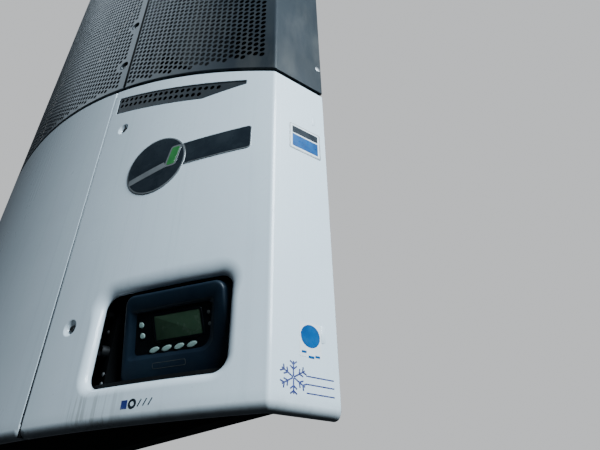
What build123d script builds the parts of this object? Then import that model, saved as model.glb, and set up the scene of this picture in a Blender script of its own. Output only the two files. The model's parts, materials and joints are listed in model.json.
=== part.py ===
from build123d import *
from math import asin, ceil, cos, hypot, pi, radians, sin, sqrt
import os

# Nose-mounted refrigeration unit of a refrigerated trailer: a curved lower cover with two hinged
# doors, perforated grilles above an arched seam, a display recess, a condenser section with its
# fan, and an evaporator section behind the wall.
# Every size is in millimetres. X runs to the right seen from the front, the front faces -Y,
# and heights are counted from the lower edge of the cover until the parts are written.

# Outline in plan: the nose is one arc between two folds, and a side face runs back from each
fold_half_width = 1012.0
side_flare = 21.0
nose_depth = 438.0
fold_depth = 149.64
fold_radius = 12.0
rear_gap = 8.0

# Heights
total_height = 2200.0
cap_height = 62.0

# Cover panels and doors
door_width = 459.0
door_gap = 5.0
rim_depth = 22.0
rim_width = 20.0
skin = 4.0
top_flange = 6.0
lip_bevel = 9.0
rib_width = 10.0
rib_heights = (440.0,)

# Arch between the cover and the grilles: points in from the fold and down from the crest
arch_crest_height = 995.0
arch_side_drop = 223.0
arch_mid_inset = 392.0
arch_mid_drop = 87.0
arch_knee_inset = 712.0
arch_knee_drop = 22.0
arch_gap = 12.0
seal_inset = 12.0

# Grilles
grille_seam_shift = 22.0
grille_gap = 4.0
grille_skin = 3.0

# Seating, running and cutting clearances
seat = 0.3
moving_clearance = 6.0
running = 0.05
overshoot = 1.0

# Door hinges
hinge_depth = 36.0
pin_radius = 5.0
knuckle_width = 18.0
knuckle_height = 34.0
lower_hinge_height = 110.0
upper_hinge_drop = 132.0
bracket_thickness = 10.0
bracket_width = 14.0
bracket_end = 6.0

# Mounting frame, with four bolts in each upright
frame_depth = 60.0
frame_wall = 5.0
frame_low = 40.0
frame_top_gap = 70.0
frame_rail_height = 60.0
upright_inset = 44.0
upright_width = 68.0
bolt_low_inset = 100.0
bolt_high_inset = 90.0
inner_bolt_spacing = 640.0
bolt_hole_radius = 7.0

# Posts behind the seams and rails behind the panels
post_inner_overlap = 31.0
post_outer_overlap = 83.0
post_back_inset = 40.0
arch_rail_height = 35.0
arch_rail_back_inset = 52.0
rail_height = 40.0
top_rail_height = 60.0
rail_back_inset = 62.0
arm_width = 30.0

# Pan, cradle and plain masses
pan_low = 34.0
pan_thickness = 6.0
cradle_height = 40.0
cradle_beams = (-250.0, 300.0)
cradle_beam_width = 60.0
engine_x = -60.0
engine_width = 560.0
engine_height = 480.0
engine_front_gap = 98.0
engine_back_gap = 90.0
engine_corner = 25.0
compressor_size = (210.0, 210.0, 300.0)
battery_x = -430.0
battery_width = 150.0
battery_height = 190.0
battery_gap = 8.0
box_back_gap = 10.0

# Display recess in the right door, measured along the chord of the nose there
recess_from_fold = 199.0
recess_height = 157.5
recess_size = (276.0, 181.0)
recess_corner = 28.0
recess_small_corner = 16.0
flare_width = 16.0
flare_depth = 14.0
recess_collar = 12.0
recess_back = 72.0
box_post_gap = 15.0
box_upright_gap = 2.0
box_height = 235.0

# Display, measured from the middle of the recess
display_shift = 12.0
display_lift = 2.0
display_depth = 32.0
display_turn = 1.0
display_tilt = 22.0
display_size = (228.0, 165.0)
display_corner = 24.0
display_bevel = 4.0
screen_size = (104.0, 45.0, 1.5)
screen_place = (6.0, 14.0)
key_size = (17.0, 9.0, 2.0)
key_corner = 3.0
key_count = 4
key_start = -48.0
key_pitch = 26.7
key_line = -25.0
round_key_radius = 4.5
round_key_sides = 12
round_keys = ((-73.0, 25.0), (-71.0, 3.5))

# Slit vent below the arch: its ends, its edges, and its two rows of holes
vent_from_seam = 21.0
vent_from_fold = 62.0
vent_drop = 40.4
vent_start_height = 50.0
vent_start_slant = 3.0
vent_end_height = 10.0
vent_heel_from_fold = 167.0
vent_heel_height = 13.0
vent_inset = 7.0
vent_thickness = 5.0
vent_collar = 10.0
vent_pitch = 18.2
vent_hole_radius = 5.2
vent_hole_sides = 6
vent_first_hole = 17.0
vent_row_drops = (15.0, 37.0)
vent_row_counts = (17, 14)

# Quarter-turn latches beside the seam
latch_from_seam = 64.5
lower_latch_height = 195.0
upper_latch_drop = 164.5
dimple_radius = 19.0
dimple_sides = 12
dimple_depth = 5.0
latch_head_radius = 12.0
latch_head_height = 4.0
latch_shank = 12.0
latch_slot = (17.0, 2.5, 3.0)
latch_boss = 46.0

# Condenser section
coil_gap = 5.0
coil_depth = 50.0
coil_header = 26.0
coil_header_step = 6.0
shroud_overhang = 28.0
shroud_lift = 67.0
shroud_drop = 208.0
shroud_plate = 4.0
ring_depth = 78.0
ring_wall = 5.0
ring_sides = 28
fan_setback = 50.0
fan_radius = 288.0
fan_clearance = 10.0
fan_hub_radius = 68.0
fan_hub_depth = 60.0
fan_blades = 7
fan_chord = 150.0
fan_blade_thickness = 4.0
fan_pitch = 28.0
shaft_radius = 18.0
shaft_end = 8.0

# Evaporator section behind the wall
bulkhead_front_gap = 8.0
bulkhead_back_gap = 6.0
bearing_sleeve = 92.0
bearing_flange = (148.0, 10.0)
housing_half_width = 640.0
housing_below = 716.0
housing_above = 464.0
housing_depth = 236.0
housing_wall = 18.0
housing_corner = 20.0
return_half_width = 540.0
return_rise = (50.0, 350.0)
outlet_half_width = 380.0
outlet_fall = (190.0, 70.0)
guard_rim = 14.0
guard_bar = 5.0
guard_setback = 4.0
guard_pitch = 60.0
blower_y = 112.0
blower_radius = 190.0
blower_depth = 110.0
blower_plate = 4.0
blower_blades = 10
blower_blade_length = 62.0
blower_blade_thickness = 3.0
blower_blade_angle = 22.0
blower_hub_radius = 40.0
evaporator_coil_rise = 380.0
evaporator_coil_gap = 22.0
evaporator_coil_depth = 150.0
evaporator_coil_height = 120.0

# Top cap with its air outlet
cap_skin = 4.0
cap_bevel = 10.0
cap_outlet_half_width = 520.0
cap_outlet_front_gap = 176.0
cap_outlet_back = 92.0
cap_guard_rim = 10.0
cap_guard_depth = 14.0
cap_guard_bar = 6.0
cap_guard_setback = 2.0
cap_guard_pitch = 52.0

# What follows from the sizes above
rear_half_width = fold_half_width + side_flare
sagitta = nose_depth - fold_depth
nose_radius = (fold_half_width**2 + sagitta**2) / (2 * sagitta)
circle_y = nose_radius - nose_depth
side_length = hypot(side_flare, fold_depth)
side_run = (side_flare / side_length, fold_depth / side_length)
far = nose_depth + housing_depth
grille_top = total_height - cap_height
seam_x = fold_half_width - door_width
grille_seam_x = seam_x + grille_seam_shift
hinge_x = fold_half_width
arch_side_height = arch_crest_height - arch_side_drop
hinge_heights = (lower_hinge_height, arch_side_height - upper_hinge_drop)
upright_outer_x = fold_half_width - upright_inset
upright_inner_x = upright_outer_x - upright_width
frame_high = total_height - frame_top_gap
low_bolt_height = frame_low + bolt_low_inset
high_bolt_height = frame_high - bolt_high_inset
pattern_height = (low_bolt_height + high_bolt_height) / 2
post_inner_x = seam_x - post_inner_overlap
post_outer_x = seam_x + post_outer_overlap
pan_top = pan_low + pan_thickness
recess_x = fold_half_width - recess_from_fold
recess_turn = asin(recess_x / nose_radius)
latch_x = seam_x + latch_from_seam
shroud_half_width = post_outer_x + shroud_overhang
shroud_low = arch_crest_height + shroud_lift
shroud_high = grille_top - shroud_drop
shaft_height = (shroud_low + shroud_high) / 2
bulkhead_front_y = bulkhead_front_gap - frame_depth
housing_low = shaft_height - housing_below
housing_high = shaft_height + housing_above
return_opening = (return_half_width, housing_low + return_rise[0], housing_low + return_rise[1])
outlet_opening = (outlet_half_width, housing_high - outlet_fall[0], housing_high - outlet_fall[1])
cap_outlet_front_y = cap_outlet_front_gap - nose_depth


def nose_y(x, inset=0.0):
    """Y of the nose at half width x, on the surface inset behind the outer one."""
    return circle_y - sqrt((nose_radius - inset) ** 2 - x**2)


def side_x(y, inset=0.0):
    """X of the right side face at depth y, on the surface inset behind the outer one."""
    px = fold_half_width - side_run[1] * inset
    py = side_run[0] * inset - fold_depth
    return px + (y - py) * side_run[0] / side_run[1]


def plan_face(inset, rear_y):
    """Plan outline of the unit, moved inwards by inset and closed at rear_y."""
    px = fold_half_width - side_run[1] * inset
    py = side_run[0] * inset - fold_depth
    along = px * side_run[0] + (py - circle_y) * side_run[1]
    beyond = px**2 + (py - circle_y) ** 2 - (nose_radius - inset) ** 2
    step = -along - sqrt(along**2 - beyond)
    corner = (px + step * side_run[0], py + step * side_run[1])
    rear = (side_x(rear_y, inset), rear_y)
    face = make_face([
        Line(rear, corner),
        ThreePointArc(corner, (0, nose_y(0, inset)), (-corner[0], corner[1])),
        Line((-corner[0], corner[1]), (-rear[0], rear_y)),
        Line((-rear[0], rear_y), rear),
    ])
    radius = fold_radius - inset
    if radius > overshoot:
        folds = face.vertices().sort_by(Axis.Y)[:2]
        face = fillet(folds, radius)
    return face


def body(inset, low, high, rear_y=-rear_gap):
    return Pos(0, 0, low) * extrude(plan_face(inset, rear_y), high - low)


def shell(outer, inner, low=0.0, high=total_height):
    """Wall between two insets, open at the back."""
    hollow = body(inner, low - overshoot, high + overshoot, rear_y=frame_depth)
    return body(outer, low, high) - hollow


def block(x0, x1, y0, y1, z0, z1):
    return Pos((x0 + x1) / 2, (y0 + y1) / 2, (z0 + z1) / 2) * Box(x1 - x0, y1 - y0, z1 - z0)


def both_sides(x0, x1):
    """The same span of half widths to the right and to the left, each from low to high X."""
    return [(x0, x1), (-x1, -x0)]


def zone(x0, x1, z0=0.0, z1=total_height):
    """Everything between two half widths and two heights, with a little beyond an outer edge."""
    low = z0 - overshoot if z0 == 0 else z0
    return block(x0, x1, -far, far, low, z1)


def rod(radius, length, x, y, height):
    """Round bar along Y, with its middle at the given place."""
    return Pos(x, y, height) * Rot(90, 0, 0) * Cylinder(radius, length)


def prism(radius, sides, length):
    """Upright bar with flat sides around its middle; radius reaches the corners."""
    return extrude(RegularPolygon(radius, sides), length / 2, both=True)


def arch_points(lift=0.0):
    """The arch from the right-hand fold inwards to its crest."""
    crest = arch_crest_height + lift
    return [
        (fold_half_width, crest - arch_side_drop),
        (fold_half_width - arch_mid_inset, crest - arch_mid_drop),
        (fold_half_width - arch_knee_inset, crest - arch_knee_drop),
        (0, crest),
    ]


def arch_height(x):
    """Height of the arch at half width x, on the arc between its knee and the fold."""
    arc = ThreePointArc(*arch_points()[:3])
    centre = arc.arc_center
    return centre.Y + sqrt(arc.radius**2 - (x - centre.X) ** 2)


def under_arch(lift=0.0):
    """Everything below the arch, with the arch lifted by lift."""
    wide = rear_half_width + far
    low = -far
    fold, middle, knee, crest = arch_points(lift)
    left = [(-x, z) for x, z in (fold, middle, knee)]
    face = make_face([
        Line((-wide, low), (wide, low)),
        Line((wide, low), (wide, fold[1])),
        Line((wide, fold[1]), fold),
        ThreePointArc(fold, middle, knee),
        ThreePointArc(knee, crest, left[2]),
        ThreePointArc(left[2], left[1], left[0]),
        Line(left[0], (-wide, fold[1])),
        Line((-wide, fold[1]), (-wide, low)),
    ])
    return extrude(Plane.XZ * face, far, both=True)


def nose_plane(x, height, inset=0.0):
    """Plane on the nose at half width x, looking outwards, x to the right and y up."""
    turn = asin(x / nose_radius)
    reach = nose_radius - inset
    origin = (reach * sin(turn), circle_y - reach * cos(turn), height)
    return Plane(origin=origin, x_dir=(cos(turn), sin(turn), 0), z_dir=(sin(turn), -cos(turn), 0))


def chord_plane(depth=0.0):
    """Plane of the recess mouth, on the chord of the nose, pushed inwards by depth."""
    reach = sqrt(nose_radius**2 - (recess_size[0] / 2) ** 2) - depth
    origin = (reach * sin(recess_turn), circle_y - reach * cos(recess_turn), recess_height)
    across = (cos(recess_turn), sin(recess_turn), 0)
    return Plane(origin=origin, x_dir=across, z_dir=(sin(recess_turn), -cos(recess_turn), 0))


def recess_face(grow):
    """Outline of the recess, larger by grow on every side, with one tighter corner."""
    width, height = recess_size[0] + 2 * grow, recess_size[1] + 2 * grow
    corners = Rectangle(width, height).vertices().sort_by(lambda v: v.X + v.Y)
    face = fillet(corners[0], recess_small_corner + grow)
    others = [v for v in face.vertices() if hypot(v.X, v.Y) > hypot(width, height) / 2 - overshoot]
    return fillet(others, recess_corner + grow)


def vent_corners():
    """Corners of the slit vent: top edge along the arch, short ends, and a heel below."""
    start_x = seam_x + vent_from_seam
    end_x = fold_half_width - vent_from_fold
    start_z = arch_height(start_x) - vent_drop
    end_z = arch_height(end_x) - vent_drop
    return [
        (start_x, start_z),
        (end_x, end_z),
        (end_x, end_z - vent_end_height),
        (fold_half_width - vent_heel_from_fold, end_z - vent_heel_height),
        (start_x + vent_start_slant, start_z - vent_start_height),
    ]


def vent_prism(grow):
    """Outline of the slit vent pushed right through the front, larger by grow."""
    face = make_face(Polyline(*vent_corners(), close=True))
    if grow:
        face = offset(face, amount=grow, kind=Kind.INTERSECTION)
    return extrude(Plane.XZ * face, far)


def cover_slab():
    """The whole lower cover before it is split: outer wall with its bevelled lower lip."""
    top = arch_crest_height + overshoot
    solid = body(0, 0, top)
    lip = [e for e in solid.edges() if e.center().Z < overshoot and e.center().Y < -rear_gap - overshoot]
    solid = chamfer(lip, lip_bevel)
    return solid - body(rim_depth, -overshoot, top + overshoot, rear_y=frame_depth)


def pocket(x0, x1):
    """Hollow behind the skin of a cover panel, leaving its rim and its ribs."""
    hollow = shell(skin, rim_depth + overshoot, rim_width) & under_arch(-rim_width)
    hollow = hollow & zone(x0, x1)
    for height in rib_heights:
        hollow -= zone(x0 - overshoot, x1 + overshoot, height - rib_width / 2, height + rib_width / 2)
    return hollow


def latch_heights():
    return (lower_latch_height, arch_height(latch_x) - upper_latch_drop)


def door(slab, with_recess):
    """Right-hand door, with its vent slot, latch dimples and hinge knuckles."""
    inner_x = seam_x + door_gap / 2
    side_edge = rear_half_width + overshoot
    solid = slab & under_arch() & zone(inner_x, side_edge)
    hollow = pocket(inner_x + rim_width, side_edge)
    hollow -= vent_prism(vent_collar)
    if with_recess:
        collar = chord_plane(rim_depth * 2) * recess_face(recess_collar)
        hollow -= extrude(collar, rim_depth * 4)
    for height in latch_heights():
        boss = nose_plane(latch_x, height, rim_depth)
        hollow -= boss * Box(latch_boss, latch_boss, rim_depth * 2)
    top_band = shell(top_flange, rim_depth + overshoot) & zone(inner_x - overshoot, side_edge)
    solid = solid - hollow - (top_band - under_arch(-rim_width)) - vent_prism(0)
    if with_recess:
        mouth = chord_plane(rim_depth * 3) * recess_face(0)
        solid -= extrude(mouth, rim_depth * 6)
        inner = chord_plane(flare_depth) * recess_face(0)
        outer = chord_plane(-flare_depth) * recess_face(2 * flare_width)
        solid -= loft([inner.face(), outer.face()])
    for height in latch_heights():
        dimple = nose_plane(latch_x, height, dimple_depth)
        solid -= extrude(dimple * RegularPolygon(dimple_radius, dimple_sides), rim_depth)
        hole = latch_shank + 2 * seat
        solid -= nose_plane(latch_x, height, rim_depth) * Box(hole, hole, rim_depth * 2)
    for height in hinge_heights:
        solid += knuckle(height)
    return solid


def knuckle(height):
    """Hinge block on the inside of a door's side face, bored for its pin."""
    low = height + bracket_thickness + seat
    half = knuckle_width / 2
    wall_x = side_x(-hinge_depth, skin) + overshoot
    solid = block(hinge_x - half, wall_x, -hinge_depth - half, half - hinge_depth, low, low + knuckle_height)
    place = Pos(hinge_x, -hinge_depth, low + knuckle_height / 2)
    return solid - place * Cylinder(pin_radius + running, knuckle_height * 2)


def hinge_set():
    """Two brackets on the frame upright, each with an upright pin."""
    parts = []
    for height in hinge_heights:
        arm = block(upright_outer_x, hinge_x + bracket_end, -hinge_depth - bracket_width / 2,
                    bracket_width / 2 - hinge_depth, height, height + bracket_thickness)
        pin_length = bracket_thickness + knuckle_height + seat
        arm += Pos(hinge_x, -hinge_depth, height + pin_length / 2) * Cylinder(pin_radius, pin_length)
        parts.append(arm)
    return parts


def vent_insert():
    """Recessed wedge behind the slit, with its two rows of round holes.

    It is pressed in flat facets of two holes each, which follow the nose."""
    start, end = vent_corners()[:2]
    slope = (end[1] - start[1]) / (end[0] - start[0])
    first_x = start[0] + vent_first_hole
    facet = 2 * vent_pitch
    count = ceil((end[0] - start[0]) / facet) + 2
    turns = [asin((first_x - vent_pitch / 2 + (step - 1) * facet) / nose_radius) for step in range(count)]
    outline = []
    for reach, order in ((nose_radius - vent_inset, 1), (nose_radius - vent_inset - vent_thickness, -1)):
        outline += [(reach * sin(turn), circle_y - reach * cos(turn)) for turn in turns[::order]]
    plate = extrude(make_face(Polyline(*outline, close=True)), arch_crest_height) & vent_prism(-seat)
    for drop, holes in zip(vent_row_drops, vent_row_counts):
        for step in range(holes):
            x = first_x + step * vent_pitch
            height = start[1] - drop + step * vent_pitch * slope
            hole = nose_plane(x, height, rim_depth)
            plate -= extrude(hole * RegularPolygon(vent_hole_radius, vent_hole_sides), rim_depth)
    return plate


def latches():
    """Quarter-turn latches: head in its dimple and square shank through the door."""
    parts = []
    for height in latch_heights():
        base = nose_plane(latch_x, height, dimple_depth)
        head = extrude(base * RegularPolygon(latch_head_radius, dimple_sides), latch_head_height)
        length = rim_depth - dimple_depth
        shank = base * Pos(0, 0, -length / 2) * Box(latch_shank, latch_shank, length)
        slot = base * Pos(0, 0, latch_head_height) * Box(*latch_slot)
        parts.append(head + shank - slot)
    return parts


def centre_panel(slab):
    half = seam_x - door_gap / 2
    solid = slab & under_arch() & zone(-half, half)
    return solid - pocket(-half + rim_width, half - rim_width)


def grille(x0, x1):
    """Curved grille sheet with returned edges, above the arch."""
    solid = shell(0, rim_depth, 0, grille_top) & zone(x0, x1)
    solid -= under_arch(arch_gap)
    hollow = shell(grille_skin, rim_depth + overshoot, 0, grille_top - rim_width)
    hollow = hollow & zone(x0 + rim_width, x1 - rim_width)
    return solid - (hollow - under_arch(arch_gap + rim_width))


def arch_seal():
    strip = shell(seal_inset, rim_depth, 0, arch_crest_height + arch_gap)
    return (strip & under_arch(arch_gap - seat)) - under_arch(door_gap)


def post_zone(side):
    x0, x1 = both_sides(post_inner_x, post_outer_x)[side]
    return zone(x0, x1, frame_low, grille_top)


def arch_rail():
    """Curved rail behind the arch, carrying the lower edges of the grilles."""
    rail = shell(rim_depth + seat, arch_rail_back_inset)
    rail = rail & under_arch(door_gap + arch_rail_height) & zone(-upright_outer_x, upright_outer_x)
    rail -= under_arch(door_gap)
    return rail - post_zone(0) - post_zone(1)


def post(side):
    """Upright behind a seam: it carries the centre panel and the grille edges."""
    clear = rim_depth + moving_clearance
    back = shell(clear, post_back_inset) & post_zone(side)
    front = shell(rim_depth + seat, clear + overshoot)
    x0, x1 = both_sides(post_inner_x, seam_x - door_gap)[side]
    lower = front & zone(x0, x1, frame_low, arch_crest_height)
    upper = (front & post_zone(side)) - under_arch(arch_gap - door_gap)
    return back + lower + upper


def curved_rail(low, high, inset):
    """Rail along the nose between the two side arms, without the two posts."""
    rail = shell(inset, rail_back_inset, low, high)
    rail = rail & block(-upright_outer_x, upright_outer_x, -far, -frame_depth, low, high)
    arm_start = nose_y(upright_outer_x, rail_back_inset)
    for x0, x1 in both_sides(upright_outer_x - arm_width, upright_outer_x):
        rail += block(x0, x1, arm_start, -frame_depth, low, high)
    return rail - post_zone(0) - post_zone(1)


def channel(x0, x1, z0, z1, end_wall):
    """Length of frame channel, open to the front, with walls at its ends if end_wall is set."""
    outer = block(x0, x1, -frame_depth, 0, z0, z1)
    return outer - block(x0 + end_wall, x1 - end_wall, -frame_depth - overshoot, -frame_wall,
                         z0 + frame_wall, z1 - frame_wall)


def mounting_frame():
    """Pressed channel frame that bolts to the wall of the body."""
    frame = channel(-upright_outer_x, -upright_inner_x, frame_low, frame_high, frame_wall)
    frame += channel(upright_inner_x, upright_outer_x, frame_low, frame_high, frame_wall)
    for low in (frame_low, frame_high - frame_rail_height):
        frame += channel(-upright_inner_x, upright_inner_x, low, low + frame_rail_height, 0)
    bolt_x = (upright_inner_x + upright_outer_x) / 2
    outer_spacing = high_bolt_height - low_bolt_height
    for spacing in (outer_spacing, inner_bolt_spacing):
        for x in (bolt_x, -bolt_x):
            for height in (pattern_height - spacing / 2, pattern_height + spacing / 2):
                frame -= rod(bolt_hole_radius, 4 * frame_wall, x, 0, height)
    return frame


def bulkhead():
    """Insulated panel that fills the frame, bored for the bearing housing."""
    solid = block(-upright_inner_x, upright_inner_x, bulkhead_front_y, -bulkhead_back_gap,
                  frame_low + frame_rail_height, frame_high - frame_rail_height)
    hole = bearing_sleeve + 2 * seat
    return solid - Pos(0, 0, shaft_height) * Box(hole, far, hole)


def bearing_housing():
    """Square casting through the bulkhead, with its flange, that carries the fan shaft."""
    depth = -bulkhead_back_gap - bulkhead_front_y
    size, thickness = bearing_flange
    middle_y = bulkhead_front_y + depth / 2
    sleeve = Pos(0, middle_y, shaft_height) * Box(bearing_sleeve, depth, bearing_sleeve)
    sleeve += Pos(0, bulkhead_front_y - thickness / 2, shaft_height) * Box(size, thickness, size)
    return sleeve - rod(shaft_radius + running, far, 0, 0, shaft_height)


def evaporator_housing():
    """Insulated box behind the wall with its return and outlet openings."""
    half = housing_half_width
    wall = housing_wall
    solid = block(-half, half, -bulkhead_back_gap, housing_depth, housing_low, housing_high)
    solid = fillet(solid.edges().filter_by(Axis.Y), housing_corner)
    solid -= block(-half + wall, half - wall, -bulkhead_back_gap - overshoot, housing_depth - wall,
                   housing_low + wall, housing_high - wall)
    for reach, low, high in (return_opening, outlet_opening):
        solid -= block(-reach, reach, housing_depth - 2 * wall, housing_depth + overshoot, low, high)
    return solid


def bar_guard(opening):
    """Frame and upright bars that sit inside an opening of the evaporator housing."""
    half, low, high = opening
    y0, y1 = housing_depth - housing_wall, housing_depth
    solid = block(seat - half, half - seat, y0, y1, low + seat, high - seat)
    inner = half - guard_rim
    bottom, top = low + guard_rim, high - guard_rim
    solid -= block(-inner, inner, y0 - overshoot, y1 + overshoot, bottom, top)
    count = int(2 * inner / guard_pitch)
    for step in range(count):
        x = guard_pitch * (step - (count - 1) / 2)
        solid += block(x - guard_bar / 2, x + guard_bar / 2, y0 + guard_setback, y1 - guard_setback,
                       bottom - overshoot, top + overshoot)
    return solid


def condenser_fan():
    """Axial fan, bored for its shaft."""
    wheel = prism(fan_hub_radius, 2 * fan_blades, fan_hub_depth)
    root = fan_hub_radius - fan_hub_depth / 4
    length = sqrt(fan_radius**2 - (fan_chord / 2) ** 2) - root
    for step in range(fan_blades):
        blade = Box(length, fan_chord, fan_blade_thickness)
        blade = Pos(root + length / 2, 0, 0) * Rot(fan_pitch, 0, 0) * blade
        wheel += Rot(0, 0, step * 360 / fan_blades) * blade
    wheel -= Cylinder(shaft_radius, fan_hub_depth * 2)
    return Pos(0, fan_y, shaft_height) * Rot(90, 0, 0) * wheel


def blower():
    """Radial evaporator wheel: back plate, hub and backward-leaning blades."""
    wheel = prism(blower_hub_radius, blower_blades, blower_depth)
    lift = (blower_depth - blower_plate) / 2
    wheel += Pos(0, 0, lift) * prism(blower_radius, 2 * blower_blades, blower_plate)
    reach = blower_radius - blower_blade_length / 2 - blower_plate
    for step in range(blower_blades):
        blade = Box(blower_blade_length, blower_blade_thickness, blower_depth)
        blade = Pos(reach, 0, 0) * Rot(0, 0, blower_blade_angle) * blade
        wheel += Rot(0, 0, step * 360 / blower_blades) * blade
    wheel -= Cylinder(shaft_radius, blower_depth * 2)
    return Pos(0, blower_y, shaft_height) * Rot(90, 0, 0) * wheel


def fan_shaft():
    start = fan_y - fan_hub_depth / 2 - shaft_end
    end = blower_y + blower_depth / 2 + shaft_end
    return rod(shaft_radius, end - start, 0, (start + end) / 2, shaft_height)


def fan_shroud():
    """Plate around the fan ring, with its shelf and its two cheeks back to the bulkhead."""
    half, front = shroud_half_width, shroud_front_y
    solid = block(-half, half, front, front + shroud_plate, shroud_low, shroud_high)
    solid -= ring_prism(ring_wall + seat, far, 0)
    solid += block(-half, half, front, bulkhead_front_y, shroud_low, shroud_low + shroud_plate)
    for x0, x1 in both_sides(half - shroud_plate, half):
        solid += block(x0, x1, front, bulkhead_front_y, shroud_low, shroud_high)
    return solid


def ring_prism(grow, length, y):
    """Many-sided bar around the fan, its flats grow outside the fan's clearance."""
    radius = (fan_radius + fan_clearance + grow) / cos(pi / ring_sides)
    return Pos(0, y, shaft_height) * Rot(90, 0, 0) * prism(radius, ring_sides, length)


def fan_ring():
    """Ring around the fan, bent in flats."""
    return ring_prism(ring_wall, ring_depth, shroud_front_y + ring_depth / 2) - ring_prism(0, far, 0)


def condenser_coil():
    """Finned block between its two upright headers."""
    half, front = shroud_half_width, shroud_front_y - coil_depth
    solid = block(coil_header - half, half - coil_header, front, shroud_front_y,
                  shroud_low + coil_header, shroud_high - coil_header)
    for x0, x1 in both_sides(half - coil_header, half):
        solid += block(x0, x1, front + coil_header_step, shroud_front_y, shroud_low, shroud_high)
    return solid


def evaporator_coil():
    half = housing_half_width - housing_wall - evaporator_coil_gap
    low = housing_low + evaporator_coil_rise
    return block(-half, half, -bulkhead_back_gap, evaporator_coil_depth - bulkhead_back_gap,
                 low, low + evaporator_coil_height)


def cap_outlet(shrink, low, high):
    """Air outlet of the cap, smaller by shrink on every side."""
    half = cap_outlet_half_width - shrink
    return block(-half, half, cap_outlet_front_y + shrink, -cap_outlet_back - shrink, low, high)


def top_cap():
    """Cap over the grilles with its bevelled edge, its air outlet and a skirt that meets them."""
    solid = body(0, grille_top + seat, total_height)
    high = total_height - overshoot
    edge = [e for e in solid.edges() if e.center().Z > high and e.center().Y < -rear_gap - overshoot]
    solid = chamfer(edge, cap_bevel)
    solid -= body(rim_depth, grille_top - overshoot, total_height - cap_skin - cap_bevel, rear_y=frame_depth)
    solid -= body(rim_depth + cap_bevel, grille_top, total_height - cap_skin, rear_y=frame_depth)
    return solid - cap_outlet(0, grille_top, total_height + overshoot)


def cap_guard():
    """Louvred guard in the air outlet of the cap."""
    low = total_height - cap_guard_depth
    solid = cap_outlet(seat, low, total_height)
    solid -= cap_outlet(cap_guard_rim, low - overshoot, total_height + overshoot)
    inner = cap_outlet_half_width - cap_guard_rim
    y0 = cap_outlet_front_y + cap_guard_rim - overshoot
    y1 = overshoot - cap_outlet_back - cap_guard_rim
    count = int(2 * inner / cap_guard_pitch)
    for step in range(count):
        x = cap_guard_pitch * (step - (count - 1) / 2)
        solid += block(x - cap_guard_bar / 2, x + cap_guard_bar / 2, y0, y1,
                       low + cap_guard_setback, total_height - cap_guard_setback)
    return solid


def bottom_pan():
    inset = rim_depth + moving_clearance
    solid = body(inset, pan_low, pan_top, rear_y=-frame_depth)
    return solid & zone(-upright_outer_x, upright_outer_x)


def engine_span():
    """Y of the engine's front and back."""
    return engine_front_gap - nose_depth, -engine_back_gap


def engine_cradle():
    half = cradle_beam_width / 2
    front = engine_span()[0]
    return [block(x - half, x + half, front, -frame_depth, pan_top, pan_top + cradle_height)
            for x in cradle_beams]


def engine_block():
    """Engine with its compressor beside it, as plain masses."""
    low = pan_top + cradle_height
    front, back = engine_span()
    right = engine_x + engine_width / 2
    solid = block(engine_x - engine_width / 2, right, front, back, low, low + engine_height)
    solid = fillet(solid.edges().filter_by(Axis.Z), engine_corner)
    width, depth, height = compressor_size
    middle = (front + back) / 2
    return solid + block(right, right + width, middle - depth / 2, middle + depth / 2, low, low + height)


def battery():
    outer_x = abs(battery_x) + battery_width / 2
    front = nose_y(outer_x, rail_back_inset) + battery_gap
    return block(battery_x - battery_width / 2, battery_x + battery_width / 2, front,
                 -frame_depth - box_back_gap, pan_top, pan_top + battery_height)


def control_box():
    """Enclosure behind the recess, its front face parallel to the recess mouth."""
    middle = chord_plane(recess_back).origin
    slope = sin(recess_turn) / cos(recess_turn)
    left = post_outer_x + box_post_gap
    right = upright_inner_x - box_upright_gap
    back = -frame_depth - box_back_gap
    corners = [
        (left, middle.Y + (left - middle.X) * slope),
        (right, middle.Y + (right - middle.X) * slope),
        (right, back),
        (left, back),
    ]
    return Pos(0, 0, pan_top) * extrude(make_face(Polyline(*corners, close=True)), box_height)


def display_frame():
    """Plane of the display's face, turned with the nose and tilted down to the reader."""
    mouth = chord_plane(display_depth)
    turn = recess_turn + radians(display_turn)
    tilt = radians(display_tilt)
    origin = mouth.origin + mouth.x_dir * display_shift + Vector(0, 0, display_lift)
    outward = (sin(turn) * cos(tilt), -cos(turn) * cos(tilt), -sin(tilt))
    return Plane(origin=origin, x_dir=(cos(turn), sin(turn), 0), z_dir=outward)


def display_housing():
    """Moulded body of the display, from its bevelled face back to the enclosure."""
    face = display_frame()
    outline = face * RectangleRounded(display_size[0], display_size[1], display_corner)
    solid = extrude(outline, -2 * recess_back)
    edge = [e for e in solid.edges() if abs((e.center() - face.origin).dot(face.z_dir)) < overshoot]
    solid = chamfer(edge, display_bevel)
    front = chord_plane(recess_back) * Pos(0, 0, far / 2) * Box(far, far, far)
    return solid & front


def display_screen():
    width, height, thickness = screen_size
    return display_frame() * Pos(*screen_place, thickness / 2) * Box(width, height, thickness)


def display_keys():
    face = display_frame()
    width, height, rise = key_size
    keys = []
    for step in range(key_count):
        outline = chamfer(Rectangle(width, height).vertices(), key_corner)
        keys.append(face * Pos(key_start + step * key_pitch, key_line, 0) * extrude(outline, rise))
    for x, y in round_keys:
        outline = RegularPolygon(round_key_radius, round_key_sides)
        keys.append(face * Pos(x, y, 0) * extrude(outline, rise))
    return keys


def write(name, shapes):
    """Write one sub-part, lowered so that the middle of the bolt pattern is the origin."""
    shapes = shapes if isinstance(shapes, list) else [shapes]
    solids = [solid for shape in shapes for solid in shape.solids()]
    export_step(Pos(0, 0, -pattern_height) * Compound(children=solids), f"parts/{name}.step")


def mirrored(shapes):
    shapes = shapes if isinstance(shapes, list) else [shapes]
    return [mirror(shape, about=Plane.YZ) for shape in shapes]


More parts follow.
